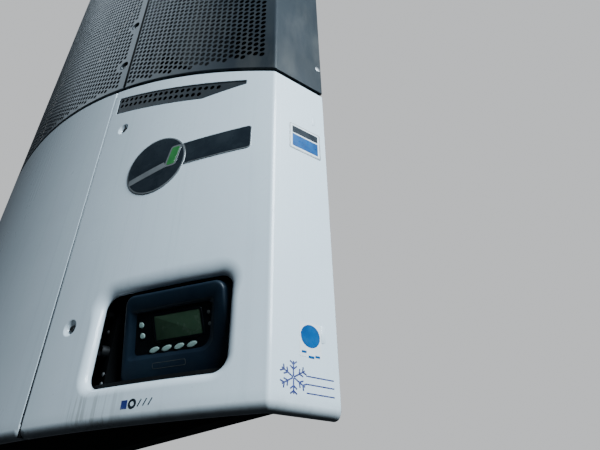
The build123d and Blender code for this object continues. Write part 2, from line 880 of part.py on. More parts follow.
coil_front_y = nose_y(post_outer_x, post_back_inset) + coil_gap
shroud_front_y = coil_front_y + coil_depth
fan_y = shroud_front_y + fan_setback

os.makedirs("parts", exist_ok=True)
slab = cover_slab()
latch_set = latches()
hinges = hinge_set()
insert = vent_insert()
grille_edge = grille_seam_x + grille_gap / 2
right_grille = grille(grille_edge, rear_half_width + overshoot)
centre_edge = grille_seam_x - grille_gap / 2

parts = {
    "right_door": door(slab, True),
    "left_door": mirrored(door(slab, False)),
    "right_vent": insert,
    "left_vent": mirrored(insert),
    "right_latches": latch_set,
    "left_latches": mirrored(latch_set),
    "centre_panel": centre_panel(slab),
    "centre_grille": grille(-centre_edge, centre_edge),
    "right_grille": right_grille,
    "left_grille": mirrored(right_grille),
    "arch_seal": arch_seal(),
    "arch_rail": arch_rail(),
    "right_post": post(0),
    "left_post": post(1),
    "bottom_rail": curved_rail(pan_top, pan_top + rail_height, rim_depth + moving_clearance),
    "top_rail": curved_rail(grille_top - top_rail_height, grille_top, rim_depth + seat),
    "mounting_frame": mounting_frame(),
    "bulkhead": bulkhead(),
    "bearing_housing": bearing_housing(),
    "evaporator_housing": evaporator_housing(),
    "evaporator_coil": evaporator_coil(),
    "return_grille": bar_guard(return_opening),
    "outlet_grille": bar_guard(outlet_opening),
    "condenser_fan": condenser_fan(),
    "evaporator_blower": blower(),
    "fan_shaft": fan_shaft(),
    "fan_shroud": fan_shroud(),
    "fan_ring": fan_ring(),
    "condenser_coil": condenser_coil(),
    "top_cap": top_cap(),
    "cap_guard": cap_guard(),
    "bottom_pan": bottom_pan(),
    "engine_cradle": engine_cradle(),
    "engine_block": engine_block(),
    "battery": battery(),
    "control_box": control_box(),
    "display_housing": display_housing(),
    "display_screen": display_screen(),
    "display_keys": display_keys(),
    "right_hinges": hinges,
    "left_hinges": mirrored(hinges),
}
for name, shapes in parts.items():
    write(name, shapes)
    print(name, "written")
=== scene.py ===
import json
import math
import bmesh
import bpy
from mathutils import Matrix, Vector
from mathutils.geometry import delaunay_2d_cdt

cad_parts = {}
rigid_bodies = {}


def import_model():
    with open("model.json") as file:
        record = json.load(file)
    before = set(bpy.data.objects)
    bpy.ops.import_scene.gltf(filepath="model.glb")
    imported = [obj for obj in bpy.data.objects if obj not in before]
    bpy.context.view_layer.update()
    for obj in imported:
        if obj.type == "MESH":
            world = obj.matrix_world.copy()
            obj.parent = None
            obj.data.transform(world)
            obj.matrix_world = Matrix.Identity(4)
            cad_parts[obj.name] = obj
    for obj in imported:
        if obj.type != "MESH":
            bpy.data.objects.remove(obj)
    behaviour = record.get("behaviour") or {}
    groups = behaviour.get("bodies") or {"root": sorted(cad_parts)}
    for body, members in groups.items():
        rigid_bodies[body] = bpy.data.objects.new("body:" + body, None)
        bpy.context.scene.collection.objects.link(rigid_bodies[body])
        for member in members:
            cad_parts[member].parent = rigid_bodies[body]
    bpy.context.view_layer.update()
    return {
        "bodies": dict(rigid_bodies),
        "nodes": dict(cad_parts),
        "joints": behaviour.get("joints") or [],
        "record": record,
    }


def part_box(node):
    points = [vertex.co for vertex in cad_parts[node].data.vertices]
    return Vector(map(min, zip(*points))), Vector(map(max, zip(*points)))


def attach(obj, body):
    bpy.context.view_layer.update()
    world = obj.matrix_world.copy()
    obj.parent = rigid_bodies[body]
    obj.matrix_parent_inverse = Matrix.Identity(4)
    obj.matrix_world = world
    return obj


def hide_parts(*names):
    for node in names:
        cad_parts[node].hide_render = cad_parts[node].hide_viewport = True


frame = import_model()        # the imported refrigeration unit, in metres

# heights are counted from the lower edge of the white cover, half widths and path lengths from the middle
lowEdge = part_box("centre_panel")[0][2]
unit = {
    "noseRadius": 1.92, "noseDepth": 0.438,   # arc of the front in plan
    "foldX": 1.012, "rearX": 1.033, "foldRound": 0.012, "rearGap": 0.008,
    "height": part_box("top_cap")[1][2] - lowEdge, "capHeight": 0.062,
    "archSide": 0.772, "archMid": (0.62, 0.908), "archKnee": (0.30, 0.973), "archCrest": 0.995,
    "archGap": 0.012, "seamX": 0.553, "doorGap": 0.005, "grilleSeamX": 0.575, "grilleGap": 0.004,
}


def say(stage):
    print("scene:", stage)


# Plan of the front

noseRadius = unit["noseRadius"]
foldRound = unit["foldRound"]
circleY = noseRadius - unit["noseDepth"]
foldCorner = Vector((unit["foldX"], -math.sqrt(noseRadius ** 2 - unit["foldX"] ** 2)))   # from the arc's centre
sideRun = (Vector((unit["rearX"], -circleY)) - foldCorner).normalized()
sideOut = Vector((sideRun.y, -sideRun.x))
sideTurn = math.atan2(sideOut.x, -sideOut.y)
cornerMemory = {}


def innerCorner(depth):
    # where the arc and the side line meet once both are moved inwards, seen from the arc's centre
    if depth not in cornerMemory:
        base = foldCorner - sideOut * depth
        along = base.dot(sideRun)
        beyond = base.length_squared - (noseRadius - depth) ** 2
        cornerMemory[depth] = base + sideRun * (-along - math.sqrt(along ** 2 - beyond))
    return cornerMemory[depth]


foldCentre = innerCorner(foldRound)
foldTurn = math.atan2(foldCentre.x, -foldCentre.y)
arcLength = noseRadius * foldTurn
sideFrom = arcLength + foldRound * (sideTurn - foldTurn)
sideStart = foldCentre + sideOut * foldRound
rearS = sideFrom + (-unit["rearGap"] - circleY - sideStart.y) / sideRun.y


def planPoint(s, depth=0.0):
    # place and outward direction in plan, s along the outer face from the middle, depth inwards
    reach = abs(s)
    if reach <= arcLength:
        turn, baseX, baseY, radius, run = reach / noseRadius, 0.0, 0.0, noseRadius, 0.0
    elif reach < sideFrom:
        turn, run = foldTurn + (reach - arcLength) / foldRound, 0.0
        baseX, baseY, radius = foldCentre.x, foldCentre.y, foldRound
    else:
        turn, run = sideTurn, reach - sideFrom
        baseX, baseY, radius = sideStart.x, sideStart.y, 0.0
    outX, outY = math.sin(turn), -math.cos(turn)
    x = baseX + outX * (radius - depth) + sideRun.x * run
    y = baseY + outY * (radius - depth) + sideRun.y * run
    if depth > foldRound:
        corner = innerCorner(depth)
        onArc = reach <= arcLength
        past = math.atan2(x, -y) > math.atan2(corner.x, -corner.y)
        before = (x - corner.x) * sideRun.x + (y - corner.y) * sideRun.y < 0
        if (onArc and past) or (not onArc and (before or radius > 0)):
            x, y = corner.x, corner.y
    sign = math.copysign(1.0, s)
    return sign * x, y + circleY, sign * outX, outY


def pathAt(x):
    return noseRadius * math.asin(x / noseRadius)


def circleThrough(a, b, c):
    d = 2 * (a[0] * (b[1] - c[1]) + b[0] * (c[1] - a[1]) + c[0] * (a[1] - b[1]))
    squares = [p[0] ** 2 + p[1] ** 2 for p in (a, b, c)]
    x = (squares[0] * (b[1] - c[1]) + squares[1] * (c[1] - a[1]) + squares[2] * (a[1] - b[1])) / d
    z = (squares[0] * (c[0] - b[0]) + squares[1] * (a[0] - c[0]) + squares[2] * (b[0] - a[0])) / d
    return x, z, math.hypot(a[0] - x, a[1] - z)


archSideArc = circleThrough((unit["foldX"], unit["archSide"]), unit["archMid"], unit["archKnee"])
kneeX, kneeZ = unit["archKnee"]
archTopArc = circleThrough((kneeX, kneeZ), (0.0, unit["archCrest"]), (-kneeX, kneeZ))


def archHeight(x):
    reach = abs(x)
    if reach >= unit["foldX"]:
        return unit["archSide"]
    centreX, centreZ, radius = archTopArc if reach < kneeX else archSideArc
    return centreZ + math.sqrt(radius ** 2 - (reach - centreX) ** 2)


def archOver(s):
    return archHeight(planPoint(s)[0])


# Sheets with turned edges, drawn on the unrolled front

mesh3d = {"edgeSteps": 4, "grid": 0.016, "along": 0.013, "foldSteps": 6, "keepOff": 0.005, "keenest": 0.35,
          "slopeReach": 0.001, "nick": 0.0008, "loop": 0.012, "longLoop": 0.02, "sharp": 35.0}


def stations(start, end, step):
    # path lengths from start to end, with close ones round each fold
    low, high = min(start, end), max(start, end)
    marks = [low, high]
    for side in (-1, 1):
        marks += [side * (arcLength + (sideFrom - arcLength) * k / mesh3d["foldSteps"])
                  for k in range(mesh3d["foldSteps"] + 1)]
    marks = sorted(m for m in set(marks) if low <= m <= high)
    run = []
    for a, b in zip(marks, marks[1:]):
        parts = max(1, round((b - a) / step))
        run += [a + (b - a) * k / parts for k in range(parts)]
    run.append(high)
    return run if start <= end else run[::-1]


def shifted(loop, amount):
    # a loop that runs anticlockwise, moved outwards by one amount, or by a list with one for each point
    amounts = amount if isinstance(amount, list) else [amount] * len(loop)
    moved = []
    for k, here in enumerate(loop):
        before, after = loop[k - 1], loop[(k + 1) % len(loop)]
        ax, az = here[0] - before[0], here[1] - before[1]
        bx, bz = after[0] - here[0], after[1] - here[1]
        la, lb = math.hypot(ax, az), math.hypot(bx, bz)
        ax, az, bx, bz = ax / la, az / la, bx / lb, bz / lb
        size = max(mesh3d["keenest"], 1 + ax * bx + az * bz)
        moved.append((here[0] + amounts[k] * (az + bz) / size, here[1] - amounts[k] * (ax + bx) / size))
    return moved


def roundedLoop(corners, radii, steps):
    # anticlockwise corners, all rounded with one radius, or each with its own
    radii = [radii] * len(corners) if isinstance(radii, float) else radii
    loop = []
    for k, here in enumerate(corners):
        here, before, after = Vector(here), Vector(corners[k - 1]), Vector(corners[(k + 1) % len(corners)])
        a, b = (before - here).normalized(), (after - here).normalized()
        half = math.acos(max(-1, min(1, a.dot(b)))) / 2
        middle = here + (a + b).normalized() * (radii[k] / math.sin(half))
        start = here + a * (radii[k] / math.tan(half)) - middle
        sweep = math.pi - 2 * half
        for j in range(steps + 1):
            turn = sweep * j / steps
            loop.append((middle.x + start.x * math.cos(turn) - start.y * math.sin(turn),
                         middle.y + start.x * math.sin(turn) + start.y * math.cos(turn)))
    return loop


def divided(loop, step=mesh3d["loop"]):
    # the same loop with its long sides cut into steps
    full = []
    for k, here in enumerate(loop):
        after = loop[(k + 1) % len(loop)]
        parts = max(1, round(math.hypot(after[0] - here[0], after[1] - here[1]) / step))
        full += [(here[0] + (after[0] - here[0]) * j / parts, here[1] + (after[1] - here[1]) * j / parts)
                 for j in range(parts)]
    return full


def ringLoop(centre, radius, sides):
    return [(centre[0] + radius * math.cos(2 * math.pi * k / sides),
             centre[1] + radius * math.sin(2 * math.pi * k / sides)) for k in range(sides)]


def boxLoop(low, high, radii=None, steps=5, step=mesh3d["longLoop"]):
    corners = [low, (high[0], low[1]), high, (low[0], high[1])]
    return divided(roundedLoop(corners, radii, steps) if radii else corners, step)


def mirrored(loop):
    # the same loop on the other side, still anticlockwise
    return [(-s, z) for s, z in loop][::-1]


class Sheet:
    # points on the unrolled front, kept with their place on it, and the faces between them

    def __init__(self):
        self.points, self.normals, self.flat, self.faces = [], [], [], []
        self.found = {}

    def point(self, s, z, depth=0.0, smooth=False):
        x, y, outX, outY = planPoint(s, depth)
        key = (round(x, 6), round(y, 6), round(z, 6))
        if key in self.found:
            return self.found[key]
        self.found[key] = len(self.points)
        self.points.append((x, y, z + lowEdge))
        self.flat.append((s, z))
        self.normals.append((outX, outY, 0.0) if smooth else (0.0, 0.0, 0.0))
        return len(self.points) - 1

    def ring(self, loop, depth, smooth=False):
        return [self.point(p[0], p[1], depth, smooth) for p in loop]

    def face(self, corners):
        kept = [c for k, c in enumerate(corners) if c not in corners[:k]]
        if len(kept) > 2:
            self.faces.append(tuple(kept))

    def band(self, inner, outer):
        count = len(inner)
        for k in range(count):
            after = (k + 1) % count
            self.face([inner[k], outer[k], outer[after], inner[after]])

    def bands(self, rings):
        for inner, outer in zip(rings, rings[1:]):
            self.band(inner, outer)

    def bar(self, rings):
        # closed bar through rings that lie one above the other
        for under, over in zip(rings, rings[1:]):
            self.band(over, under)
        self.face(rings[0][::-1])
        self.face(rings[-1])

    def fill(self, loops, depth, front, skip=None, ragged=()):
        # the surface between an outer loop and what lies inside it: other loops, or a ragged edge in pairs
        ids = [k for loop in loops for k in loop]
        edges, offset = [], 0
        for loop in loops:
            edges += [(offset + k, offset + (k + 1) % len(loop)) for k in range(len(loop))]
            offset += len(loop)
        place = {}
        for pair in ragged:
            for k in pair:
                if k not in place:
                    place[k] = len(ids)
                    ids.append(k)
            edges.append((place[pair[0]], place[pair[1]]))
        grid = self.innerGrid(loops[0], ids, skip)
        spots = [Vector(self.flat[k]) for k in ids] + [Vector(p) for p in grid]
        verts, lines, faces, origins, lineOrigins, _ = delaunay_2d_cdt(spots, edges, [], 1, 1e-9)
        known = {first: ids[k] for first, origin in enumerate(origins) for k in origin if k < len(ids)}
        walls = {frozenset(line) for line, origin in zip(lines, lineOrigins) if origin}
        seed = next(frozenset(line) for line, origin in zip(lines, lineOrigins)
                    if any(k < len(loops[0]) for k in origin))
        for face in sameSide(faces, walls, seed):
            for k in face:
                if k not in known:
                    known[k] = self.point(verts[k].x, verts[k].y, depth, smooth=front)
            a, b, c = (verts[k] for k in face)
            upright = (b - a).cross(c - a) > 0
            corners = [known[k] for k in face]
            self.face(corners if upright == front else corners[::-1])

    def innerGrid(self, loop, ids, skip):
        # points spread over the inside, kept off the loops
        cell = mesh3d["keepOff"]
        taken = set()
        for k in ids:
            column, row = round(self.flat[k][0] / cell), round(self.flat[k][1] / cell)
            taken |= {(column + i, row + j) for i in (-1, 0, 1) for j in (-1, 0, 1)}
        outer = [self.flat[k] for k in loop]
        lowS, highS = min(p[0] for p in outer), max(p[0] for p in outer)
        lowZ, highZ = min(p[1] for p in outer), max(p[1] for p in outer)
        rows = int((highZ - lowZ) / mesh3d["grid"])
        grid = []
        for s in stations(lowS, highS, mesh3d["grid"])[1:-1]:
            for row in range(1, rows):
                z = lowZ + (highZ - lowZ) * row / rows
                if (round(s / cell), round(z / cell)) not in taken and not (skip and skip(s, z)):
                    grid.append((s, z))
        return grid


def sameSide(faces, walls, seed):
    # the triangles that lie between the outer loop and the first walls inside it
    byEdge = {}
    for k, face in enumerate(faces):
        for a, b in zip(face, face[1:] + face[:1]):
            byEdge.setdefault(frozenset((a, b)), []).append(k)
    level = {k: True for k in byEdge[seed]}
    waiting = list(level)
    while waiting:
        k = waiting.pop()
        face = faces[k]
        for a, b in zip(face, face[1:] + face[:1]):
            edge = frozenset((a, b))
            for other in byEdge[edge]:
                if other not in level:
                    level[other] = level[k] != (edge in walls)
                    waiting.append(other)
    return [faces[k] for k, inside in level.items() if inside]


def edgeSteps(style, skin, width):
    # inset and depth of each step of a turned edge, from the outer face round to the back of the skin
    radius, deep, nick = style["round"], style["flange"], mesh3d["nick"]
    count = mesh3d["edgeSteps"]
    turn = [math.pi / 2 * k / count for k in range(count + 1)]
    steps = [(radius * (1 - math.sin(a)), radius * (1 - math.cos(a))) for a in turn]
    return steps + [(0.0, deep - nick), (nick, deep), (width, deep), (width, skin)]


def edgeLine(line, s, depth, inset):
    # height on the lower or upper edge, moved inwards; the edge is level, or follows the arch and is cut
    # straight back from it
    if isinstance(line, float):
        return line + inset
    reach = mesh3d["slopeReach"]
    slope = (line(s + reach) - line(s - reach)) / (2 * reach)
    lean = archHeight(planPoint(s, depth)[0]) - archHeight(planPoint(s)[0])
    return line(s) + lean + inset * math.hypot(1, slope)


def panelRing(start, end, bottom, top, steps):
    # one turn round a panel, with the inset and depth that each of its four edges has at this step
    (lowIn, lowDeep), (rightIn, rightDeep), (topIn, topDeep), (leftIn, leftDeep) = steps
    along = stations(start, end, mesh3d["along"])
    up = round((edgeLine(top, start, 0.0, 0.0) - edgeLine(bottom, start, 0.0, 0.0)) / mesh3d["along"])
    left, right = start + leftIn, end - rightIn

    def across(line, inset, deep):
        # a corner is as deep as the deeper of its two edges
        row = []
        for k, s in enumerate(along):
            depth = max(deep, leftDeep if k == 0 else 0, rightDeep if k == len(along) - 1 else 0)
            s = min(max(s, left), right)
            row.append((s, edgeLine(line, s, depth, inset), depth))
        return row

    def upwards(s, depth):
        low, high = edgeLine(bottom, s, depth, lowIn), edgeLine(top, s, depth, -topIn)
        return [(s, low + (high - low) * k / up, depth) for k in range(1, up)]

    return (across(bottom, lowIn, lowDeep) + upwards(right, rightDeep)
            + across(top, -topIn, topDeep)[::-1] + upwards(left, leftDeep)[::-1])


def sheetPanel(start, end, bottom, top, styles, features, skin, width):
    # curved panel between two lines, with turned edges, and features that are loops with steps leading inwards
    sheet = Sheet()
    profiles = [edgeSteps(style, skin, width) for style in styles]
    rings = []
    for k in range(len(profiles[0])):
        ring = panelRing(start, end, bottom, top, [profile[k] for profile in profiles])
        rings.append([sheet.point(s, z, depth, smooth=k == 0) for s, z, depth in ring])
    sheet.bands(rings)
    fronts, backs = [rings[0]], [rings[-1]]
    for feature in features:
        loop = feature["loop"]
        widen = [feature["widen"](*p) for p in loop] if "widen" in feature else [1.0] * len(loop)
        made = [sheet.ring(shifted(loop, [grow * w for w in widen]), depth, smooth=k == 0)
                for k, (grow, depth) in enumerate(feature["steps"])]
        sheet.bands(made[::-1])
        fronts.append(made[0])
        if "boss" in feature:
            # a dimple, closed at its floor and over the boss behind it
            boss = [sheet.ring(shifted(loop, grow), depth) for grow, depth in feature["boss"]]
            sheet.face(made[-1])
            sheet.bands(boss)
            sheet.face(boss[-1][::-1])
            backs.append(boss[0])
        else:
            backs.append(made[-1])
    return sheet, fronts, backs


# Small solid forms

class Form:
    # several closed forms gathered into one mesh

    def __init__(self):
        self.points, self.faces = [], []

    def take(self, bm, matrix):
        start = len(self.points)
        bm.verts.index_update()
        self.points += [tuple(matrix @ v.co) for v in bm.verts]
        self.faces += [tuple(start + v.index for v in f.verts) for f in bm.faces]
        bm.free()

    def block(self, matrix, size, bevel):
        bm = bmesh.new()
        bmesh.ops.create_cube(bm, size=1.0)
        bmesh.ops.scale(bm, vec=size, verts=bm.verts)
        bmesh.ops.bevel(bm, geom=bm.edges[:], offset=bevel, segments=2, profile=0.5, affect="EDGES")
        self.take(bm, matrix)

    def lathe(self, matrix, profile, sides=24):
        # profile of (radius, height) pairs from the back to the front, turned about the local Z axis
        bm = bmesh.new()
        rings = [[bm.verts.new((*p, height)) for p in ringLoop((0, 0), radius, sides if radius else 1)]
                 for radius, height in profile]
        for low, high in zip(rings, rings[1:]):
            for k in range(sides):
                after = (k + 1) % sides
                corners = [low[k % len(low)], low[after % len(low)]]
                corners += [high[after % len(high)], high[k % len(high)]]
                bm.faces.new([v for j, v in enumerate(corners) if v not in corners[:j]])
        for ring, forward in ((rings[0], False), (rings[-1], True)):
            if len(ring) > 1:
                bm.faces.new(ring if forward else ring[::-1])
        self.take(bm, matrix)

    def stack(self, matrix, levels):
        # closed form through loops with equal counts, each at its own height, first and last closed
        start, count = len(self.points), len(levels[0][0])
        for loop, height in levels:
            self.points += [tuple(matrix @ Vector((*p, height))) for p in loop]
        end = len(self.points)
        for low in range(start, end - count, count):
            for j in range(count):
                after = (j + 1) % count
                self.faces.append((low + j, low + after, low + count + after, low + count + j))
        self.faces += [tuple(range(start, start + count))[::-1], tuple(range(end - count, end))]


def surfacePlace(s, z, depth=0.0):
    # matrix on the front: X along it, Y up, Z outwards
    x, y, outX, outY = planPoint(s, depth)
    return Matrix(((-outY, 0, outX, x), (outX, 0, outY, y), (0, 1, 0, z + lowEdge), (0, 0, 0, 1)))


def addObject(name, data):
    made = bpy.data.objects.new(name, data)
    bpy.context.scene.collection.objects.link(made)
    return made


def addPiece(name, shape, body, finish, slot, replaced=()):
    mesh = bpy.data.meshes.new(name)
    mesh.from_pydata(shape.points, [], shape.faces)
    mesh.validate()
    mesh.shade_smooth()
    mesh.set_sharp_from_angle(angle=math.radians(mesh3d["sharp"]))
    if isinstance(shape, Sheet) and len(mesh.vertices) == len(shape.normals):
        mesh.normals_split_custom_set_from_vertices(shape.normals)
    mesh.materials.append(finish)
    piece = addObject(name, mesh)
    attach(piece, body)
    if replaced:
        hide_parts(*replaced)
    return piece


# Finishes

finishShare = {"dustRough": 0.3, "wearRough": 0.2, "brushTint": 0.5, "brushRough": 0.15, "varyScale": 3.1,
               "finEdge": 0.6, "coatRough": 0.1}
# detail and roughness of each noise, and for patches the two levels that they show between
noises = {
    "cloud": (5.0, 0.6, 0.32, 0.68), "dust": (6.0, 0.68, 0.44, 0.72), "wear": (8.0, 0.75, 0.655, 0.675),
    "film": (5.0, 0.62, 0.35, 0.75), "streaks": (4.0, 0.55, 0.52, 0.74), "runs": (3.0, 0.6, 0.46, 0.62),
    "specks": (7.0, 0.7, 0.42, 0.7), "spots": (3.0, 0.6, 0.735, 0.76), "vary": (4.0, 0.55), "grain": (3.0, 0.5),
    "brush": (3.0, 0.6), "peel": (2.0, 0.55), "ground": (3.0, 0.55),
}


class Wire:
    # one shader socket that sums and products can be written with

    def __init__(self, nodes, socket):
        self.nodes, self.socket = nodes, socket

    def maths(self, operation, first, second):
        return self.nodes.node("ShaderNodeMath", {"operation": operation}, {0: first, 1: second})

    def __add__(self, other):
        return self.maths("ADD", self, other)

    def __sub__(self, other):
        return self.maths("SUBTRACT", self, other)

    def __rsub__(self, other):
        return self.maths("SUBTRACT", other, self)

    def __mul__(self, other):
        return self.maths("MULTIPLY", self, other)

    __radd__, __rmul__ = __add__, __mul__

    def between(self, low, high):
        # 0 below low, 1 above high, smooth in between, and the other way round where low is the larger
        return self.nodes.node("ShaderNodeMapRange", {"interpolation_type": "SMOOTHSTEP"},
                               {"Value": self, "From Min": low, "From Max": high})


class Nodes:
    # the node tree of a material or of the world

    def __init__(self, tree):
        self.tree = tree

    def node(self, kind, settings, values, output=0):
        made = self.tree.nodes.new(kind)
        for name, value in settings.items():
            setattr(made, name, value)
        for name, value in values.items():
            if isinstance(value, Wire):
                self.tree.links.new(value.socket, made.inputs[name])
            else:
                made.inputs[name].default_value = value
        return Wire(self, made.outputs[output])


class Paint(Nodes):
    # one material, with its shader and the nodes that feed it

    def __init__(self, name, **constants):
        self.material = bpy.data.materials.new(name)
        self.material.use_nodes = True
        super().__init__(self.material.node_tree)
        self.shader = self.tree.nodes["Principled BSDF"]
        for socket, value in constants.items():
            self.shader.inputs[socket.replace("_", " ")].default_value = value
        self.place = self.node("ShaderNodeTexCoord", {}, {}, "Object")

    def feed(self, **wires):
        for name, wire in wires.items():
            self.tree.links.new(wire.socket, self.shader.inputs[name.replace("_", " ")])

    def axis(self, name):
        return self.node("ShaderNodeSeparateXYZ", {}, {0: self.place}, name)

    def noise(self, kind, scale):
        detail, rough, *levels = noises[kind]
        stretch = {0: self.place, 1: scale if isinstance(scale, tuple) else (scale, scale, scale)}
        spot = self.node("ShaderNodeVectorMath", {"operation": "MULTIPLY"}, stretch, "Vector")
        made = self.node("ShaderNodeTexNoise", {}, {"Vector": spot, "Scale": 1.0, "Detail": detail,
                                                    "Roughness": rough}, "Fac")
        return made.between(*levels) if levels else made

    def mix(self, first, second, factor):
        # each of the two is a wire, or a colour as a screen shows it
        values = {0: factor}
        for socket, colour in ((6, first), (7, second)):
            values[socket] = colour if isinstance(colour, Wire) else (*fromScreen(colour), 1)
        return self.node("ShaderNodeMix", {"data_type": "RGBA"}, values, 2)

    def bump(self, height, distance):
        return self.node("ShaderNodeBump", {}, {"Height": height, "Distance": distance, "Strength": 1.0})


def fromScreen(colour):
    # red, green and blue from 0 to 255, in the linear form that a shader takes
    return tuple(((c / 255 + 0.055) / 1.055) ** 2.4 if c > 10 else c / 255 / 12.92 for c in colour)


def makeFinish(name, look):
    # two tones in clouds, then dust, wear, brushing or fins with painted shade in the gaps where the look gives
    # them, over a fine grain
    paint = Paint(name, Metallic=look.get("metal", 0.0), Specular_IOR_Level=look.get("mirror", 0.5),
                  Coat_Weight=look.get("coat", 0.0), Coat_Roughness=finishShare["coatRough"])
    tint = paint.mix(look["dark"], look["light"], paint.noise("cloud", look["cloud"]))
    vary = paint.noise("vary", look["cloud"] * finishShare["varyScale"])
    rough = look["rough"] + look["vary"] * (vary - 0.5)
    if "dust" in look:
        colour, amount, scale = look["dust"]
        settled = amount * paint.noise("dust", scale)
        tint = paint.mix(tint, colour, settled)
        rough = rough + finishShare["dustRough"] * settled
    if "wear" in look:
        colour, scale = look["wear"]
        chips = paint.noise("wear", scale)
        tint = paint.mix(tint, colour, chips)
        rough = rough + finishShare["wearRough"] * chips
    scale, distance = look["grain"]
    grain = paint.noise("grain", scale)
    if "brush" in look:
        grain = paint.noise("brush", look["brush"])
        tint = paint.mix(tint, look["dark"], finishShare["brushTint"] * grain)
        rough = rough + finishShare["brushRough"] * (grain - 0.5)
    # fins: stripes of the given near-black colour between the fins, painted shade of the gaps between them
    if "fins" in look:
        pitch, edge = look["fins"]
        wave = paint.node("ShaderNodeMath", {"operation": "SINE"}, {0: paint.axis("X") * (2 * math.pi / pitch)})
        grain = wave.between(-finishShare["finEdge"], finishShare["finEdge"])
        tint = paint.mix(edge, tint, grain)
    paint.feed(Base_Color=tint, Roughness=rough, Normal=paint.bump(grain, distance))
    return paint.material


# Camera, floor and light

view = {
    "place": (1.5732, -0.6195, -1.2491), "heading": 45.946, "pitch": 33.6735, "roll": -1.1217, "lens": 28.197,
    "sensor": 36.0, "near": 0.02,
}
ground = {"drop": 0.021, "size": 30.0, "tones": ((186, 189, 191), (196, 198, 200)), "rough": (0.7, 0.1),
          "cloud": 0.8, "roughCloud": 6.0}


def addCamera():
    heading, pitch, roll = (math.radians(view[k]) for k in ("heading", "pitch", "roll"))
    right = Vector((math.cos(heading), math.sin(heading), 0))
    ahead = Vector((-math.sin(heading) * math.cos(pitch), math.cos(heading) * math.cos(pitch), math.sin(pitch)))
    up = right.cross(ahead)
    across = right * math.cos(roll) + up * math.sin(roll)
    upright = up * math.cos(roll) - right * math.sin(roll)
    camera = addObject("camera", bpy.data.cameras.new("camera"))
    camera.data.lens = view["lens"]
    camera.data.sensor_width = view["sensor"]
    camera.data.clip_start = view["near"]
    turn = Matrix((across, upright, -ahead)).transposed()
    camera.matrix_world = Matrix.Translation(view["place"]) @ turn.to_4x4()
    bpy.context.scene.camera = camera


def addFloor():
    half, z = ground["size"] / 2, view["place"][2] - ground["drop"]
    corners = [(x, y, z) for x, y in ((-half, -half), (half, -half), (half, half), (-half, half))]
    mesh = bpy.data.meshes.new("floor")
    mesh.from_pydata(corners, [], [(0, 1, 2, 3)])
    paint = Paint("floorPaint")
    rough, vary = ground["rough"]
    paint.feed(Base_Color=paint.mix(*ground["tones"], paint.noise("ground", ground["cloud"])),
               Roughness=rough + vary * paint.noise("ground", ground["roughCloud"]))
    mesh.materials.append(paint.material)
    floor = addObject("floor", mesh)
    # the floor throws no light back up, so the underside stays in shade
    floor.visible_diffuse = False
    floor.visible_glossy = False


lamps = {
    "key": {"from": (4.0, -0.35, 1.4), "to": (0.6, -0.1, 0.0), "size": 2.4, "power": 455.0,
            "colour": (0.76, 0.90, 1.0)},
    "sheen": {"from": (-1.2, -2.25, 3.4), "to": (0.5, -0.4, 0.2), "size": 2.6, "power": 46.0,
              "colour": (0.72, 0.87, 1.0)},
    "back": {"from": (-2.6, 4.6, 3.2), "to": (0.0, 0.0, 0.0), "size": 4.0, "power": 260.0,
             "colour": (1.0, 1.0, 1.0)},
}
worldLight = {"colour": (0.74, 0.86, 1.0), "strength": 0.115, "below": 0.02, "horizon": 0.15,
              "seen": (0.86, 0.88, 0.90), "seenStrength": 0.80}


def addLights():
    for name, lamp in lamps.items():
        light = bpy.data.lights.new(name, "AREA")
        light.size, light.energy, light.color = lamp["size"], lamp["power"], lamp["colour"]
        aim = (Vector(lamp["to"]) - Vector(lamp["from"])).to_track_quat("-Z", "Y").to_matrix().to_4x4()
        addObject(name, light).matrix_world = Matrix.Translation(lamp["from"]) @ aim
    world = bpy.data.worlds.new("paleSky")
    world.use_nodes = True
    world.node_tree.nodes.remove(world.node_tree.nodes["Background"])
    sky = Nodes(world.node_tree)
    # less light from below the horizon
    way = sky.node("ShaderNodeTexCoord", {}, {}, "Generated")
    height = sky.node("ShaderNodeSeparateXYZ", {}, {0: way}, "Z")
    strength = sky.node("ShaderNodeMapRange", {}, {
        "Value": height, "From Min": -worldLight["horizon"], "From Max": worldLight["horizon"],
        "To Min": worldLight["below"], "To Max": worldLight["strength"]})
    soft = sky.node("ShaderNodeBackground", {}, {"Color": (*worldLight["colour"], 1), "Strength": strength})
    # the studio wall is pale where it is looked at, and gives only a soft fill
    seen = sky.node("ShaderNodeBackground", {}, {"Color": (*worldLight["seen"], 1),
                                                 "Strength": worldLight["seenStrength"]})
    looked = sky.node("ShaderNodeLightPath", {}, {}, "Is Camera Ray")
    blend = sky.node("ShaderNodeMixShader", {}, {0: looked, 1: soft, 2: seen})
    sky.tree.links.new(blend.socket, sky.tree.nodes["World Output"].inputs["Surface"])
    bpy.context.scene.world = world


addCamera()
addFloor()
addLights()
say("camera, floor and light")

# Paint of the cover and the grilles

coverLook = {
    "white": (218, 229, 236), "film": (190, 202, 209), "drip": (150, 153, 150), "grime": (128, 130, 126),
    "rough": 0.26, "coat": (0.4, 0.05), "peel": (420.0, 0.00004), "filmScale": 2.4,
    "streakScale": (62.0, 62.0, 0.9), "runScale": (150.0, 150.0, 5.0), "speckScale": 26.0, "spotScale": 190.0,
    "filmShare": 0.35, "streakShare": 0.22, "dripShare": 0.55,
    "dripX": (0.640, 0.700, 0.735, 0.800), "dripTop": 0.064, "dripFade": 0.02, "lipZ": (0.036, 0.002),
    "lipShare": 0.30, "speckShare": 0.25, "spotShare": 0.35, "roughShares": (0.10, 0.12, 0.2),
}


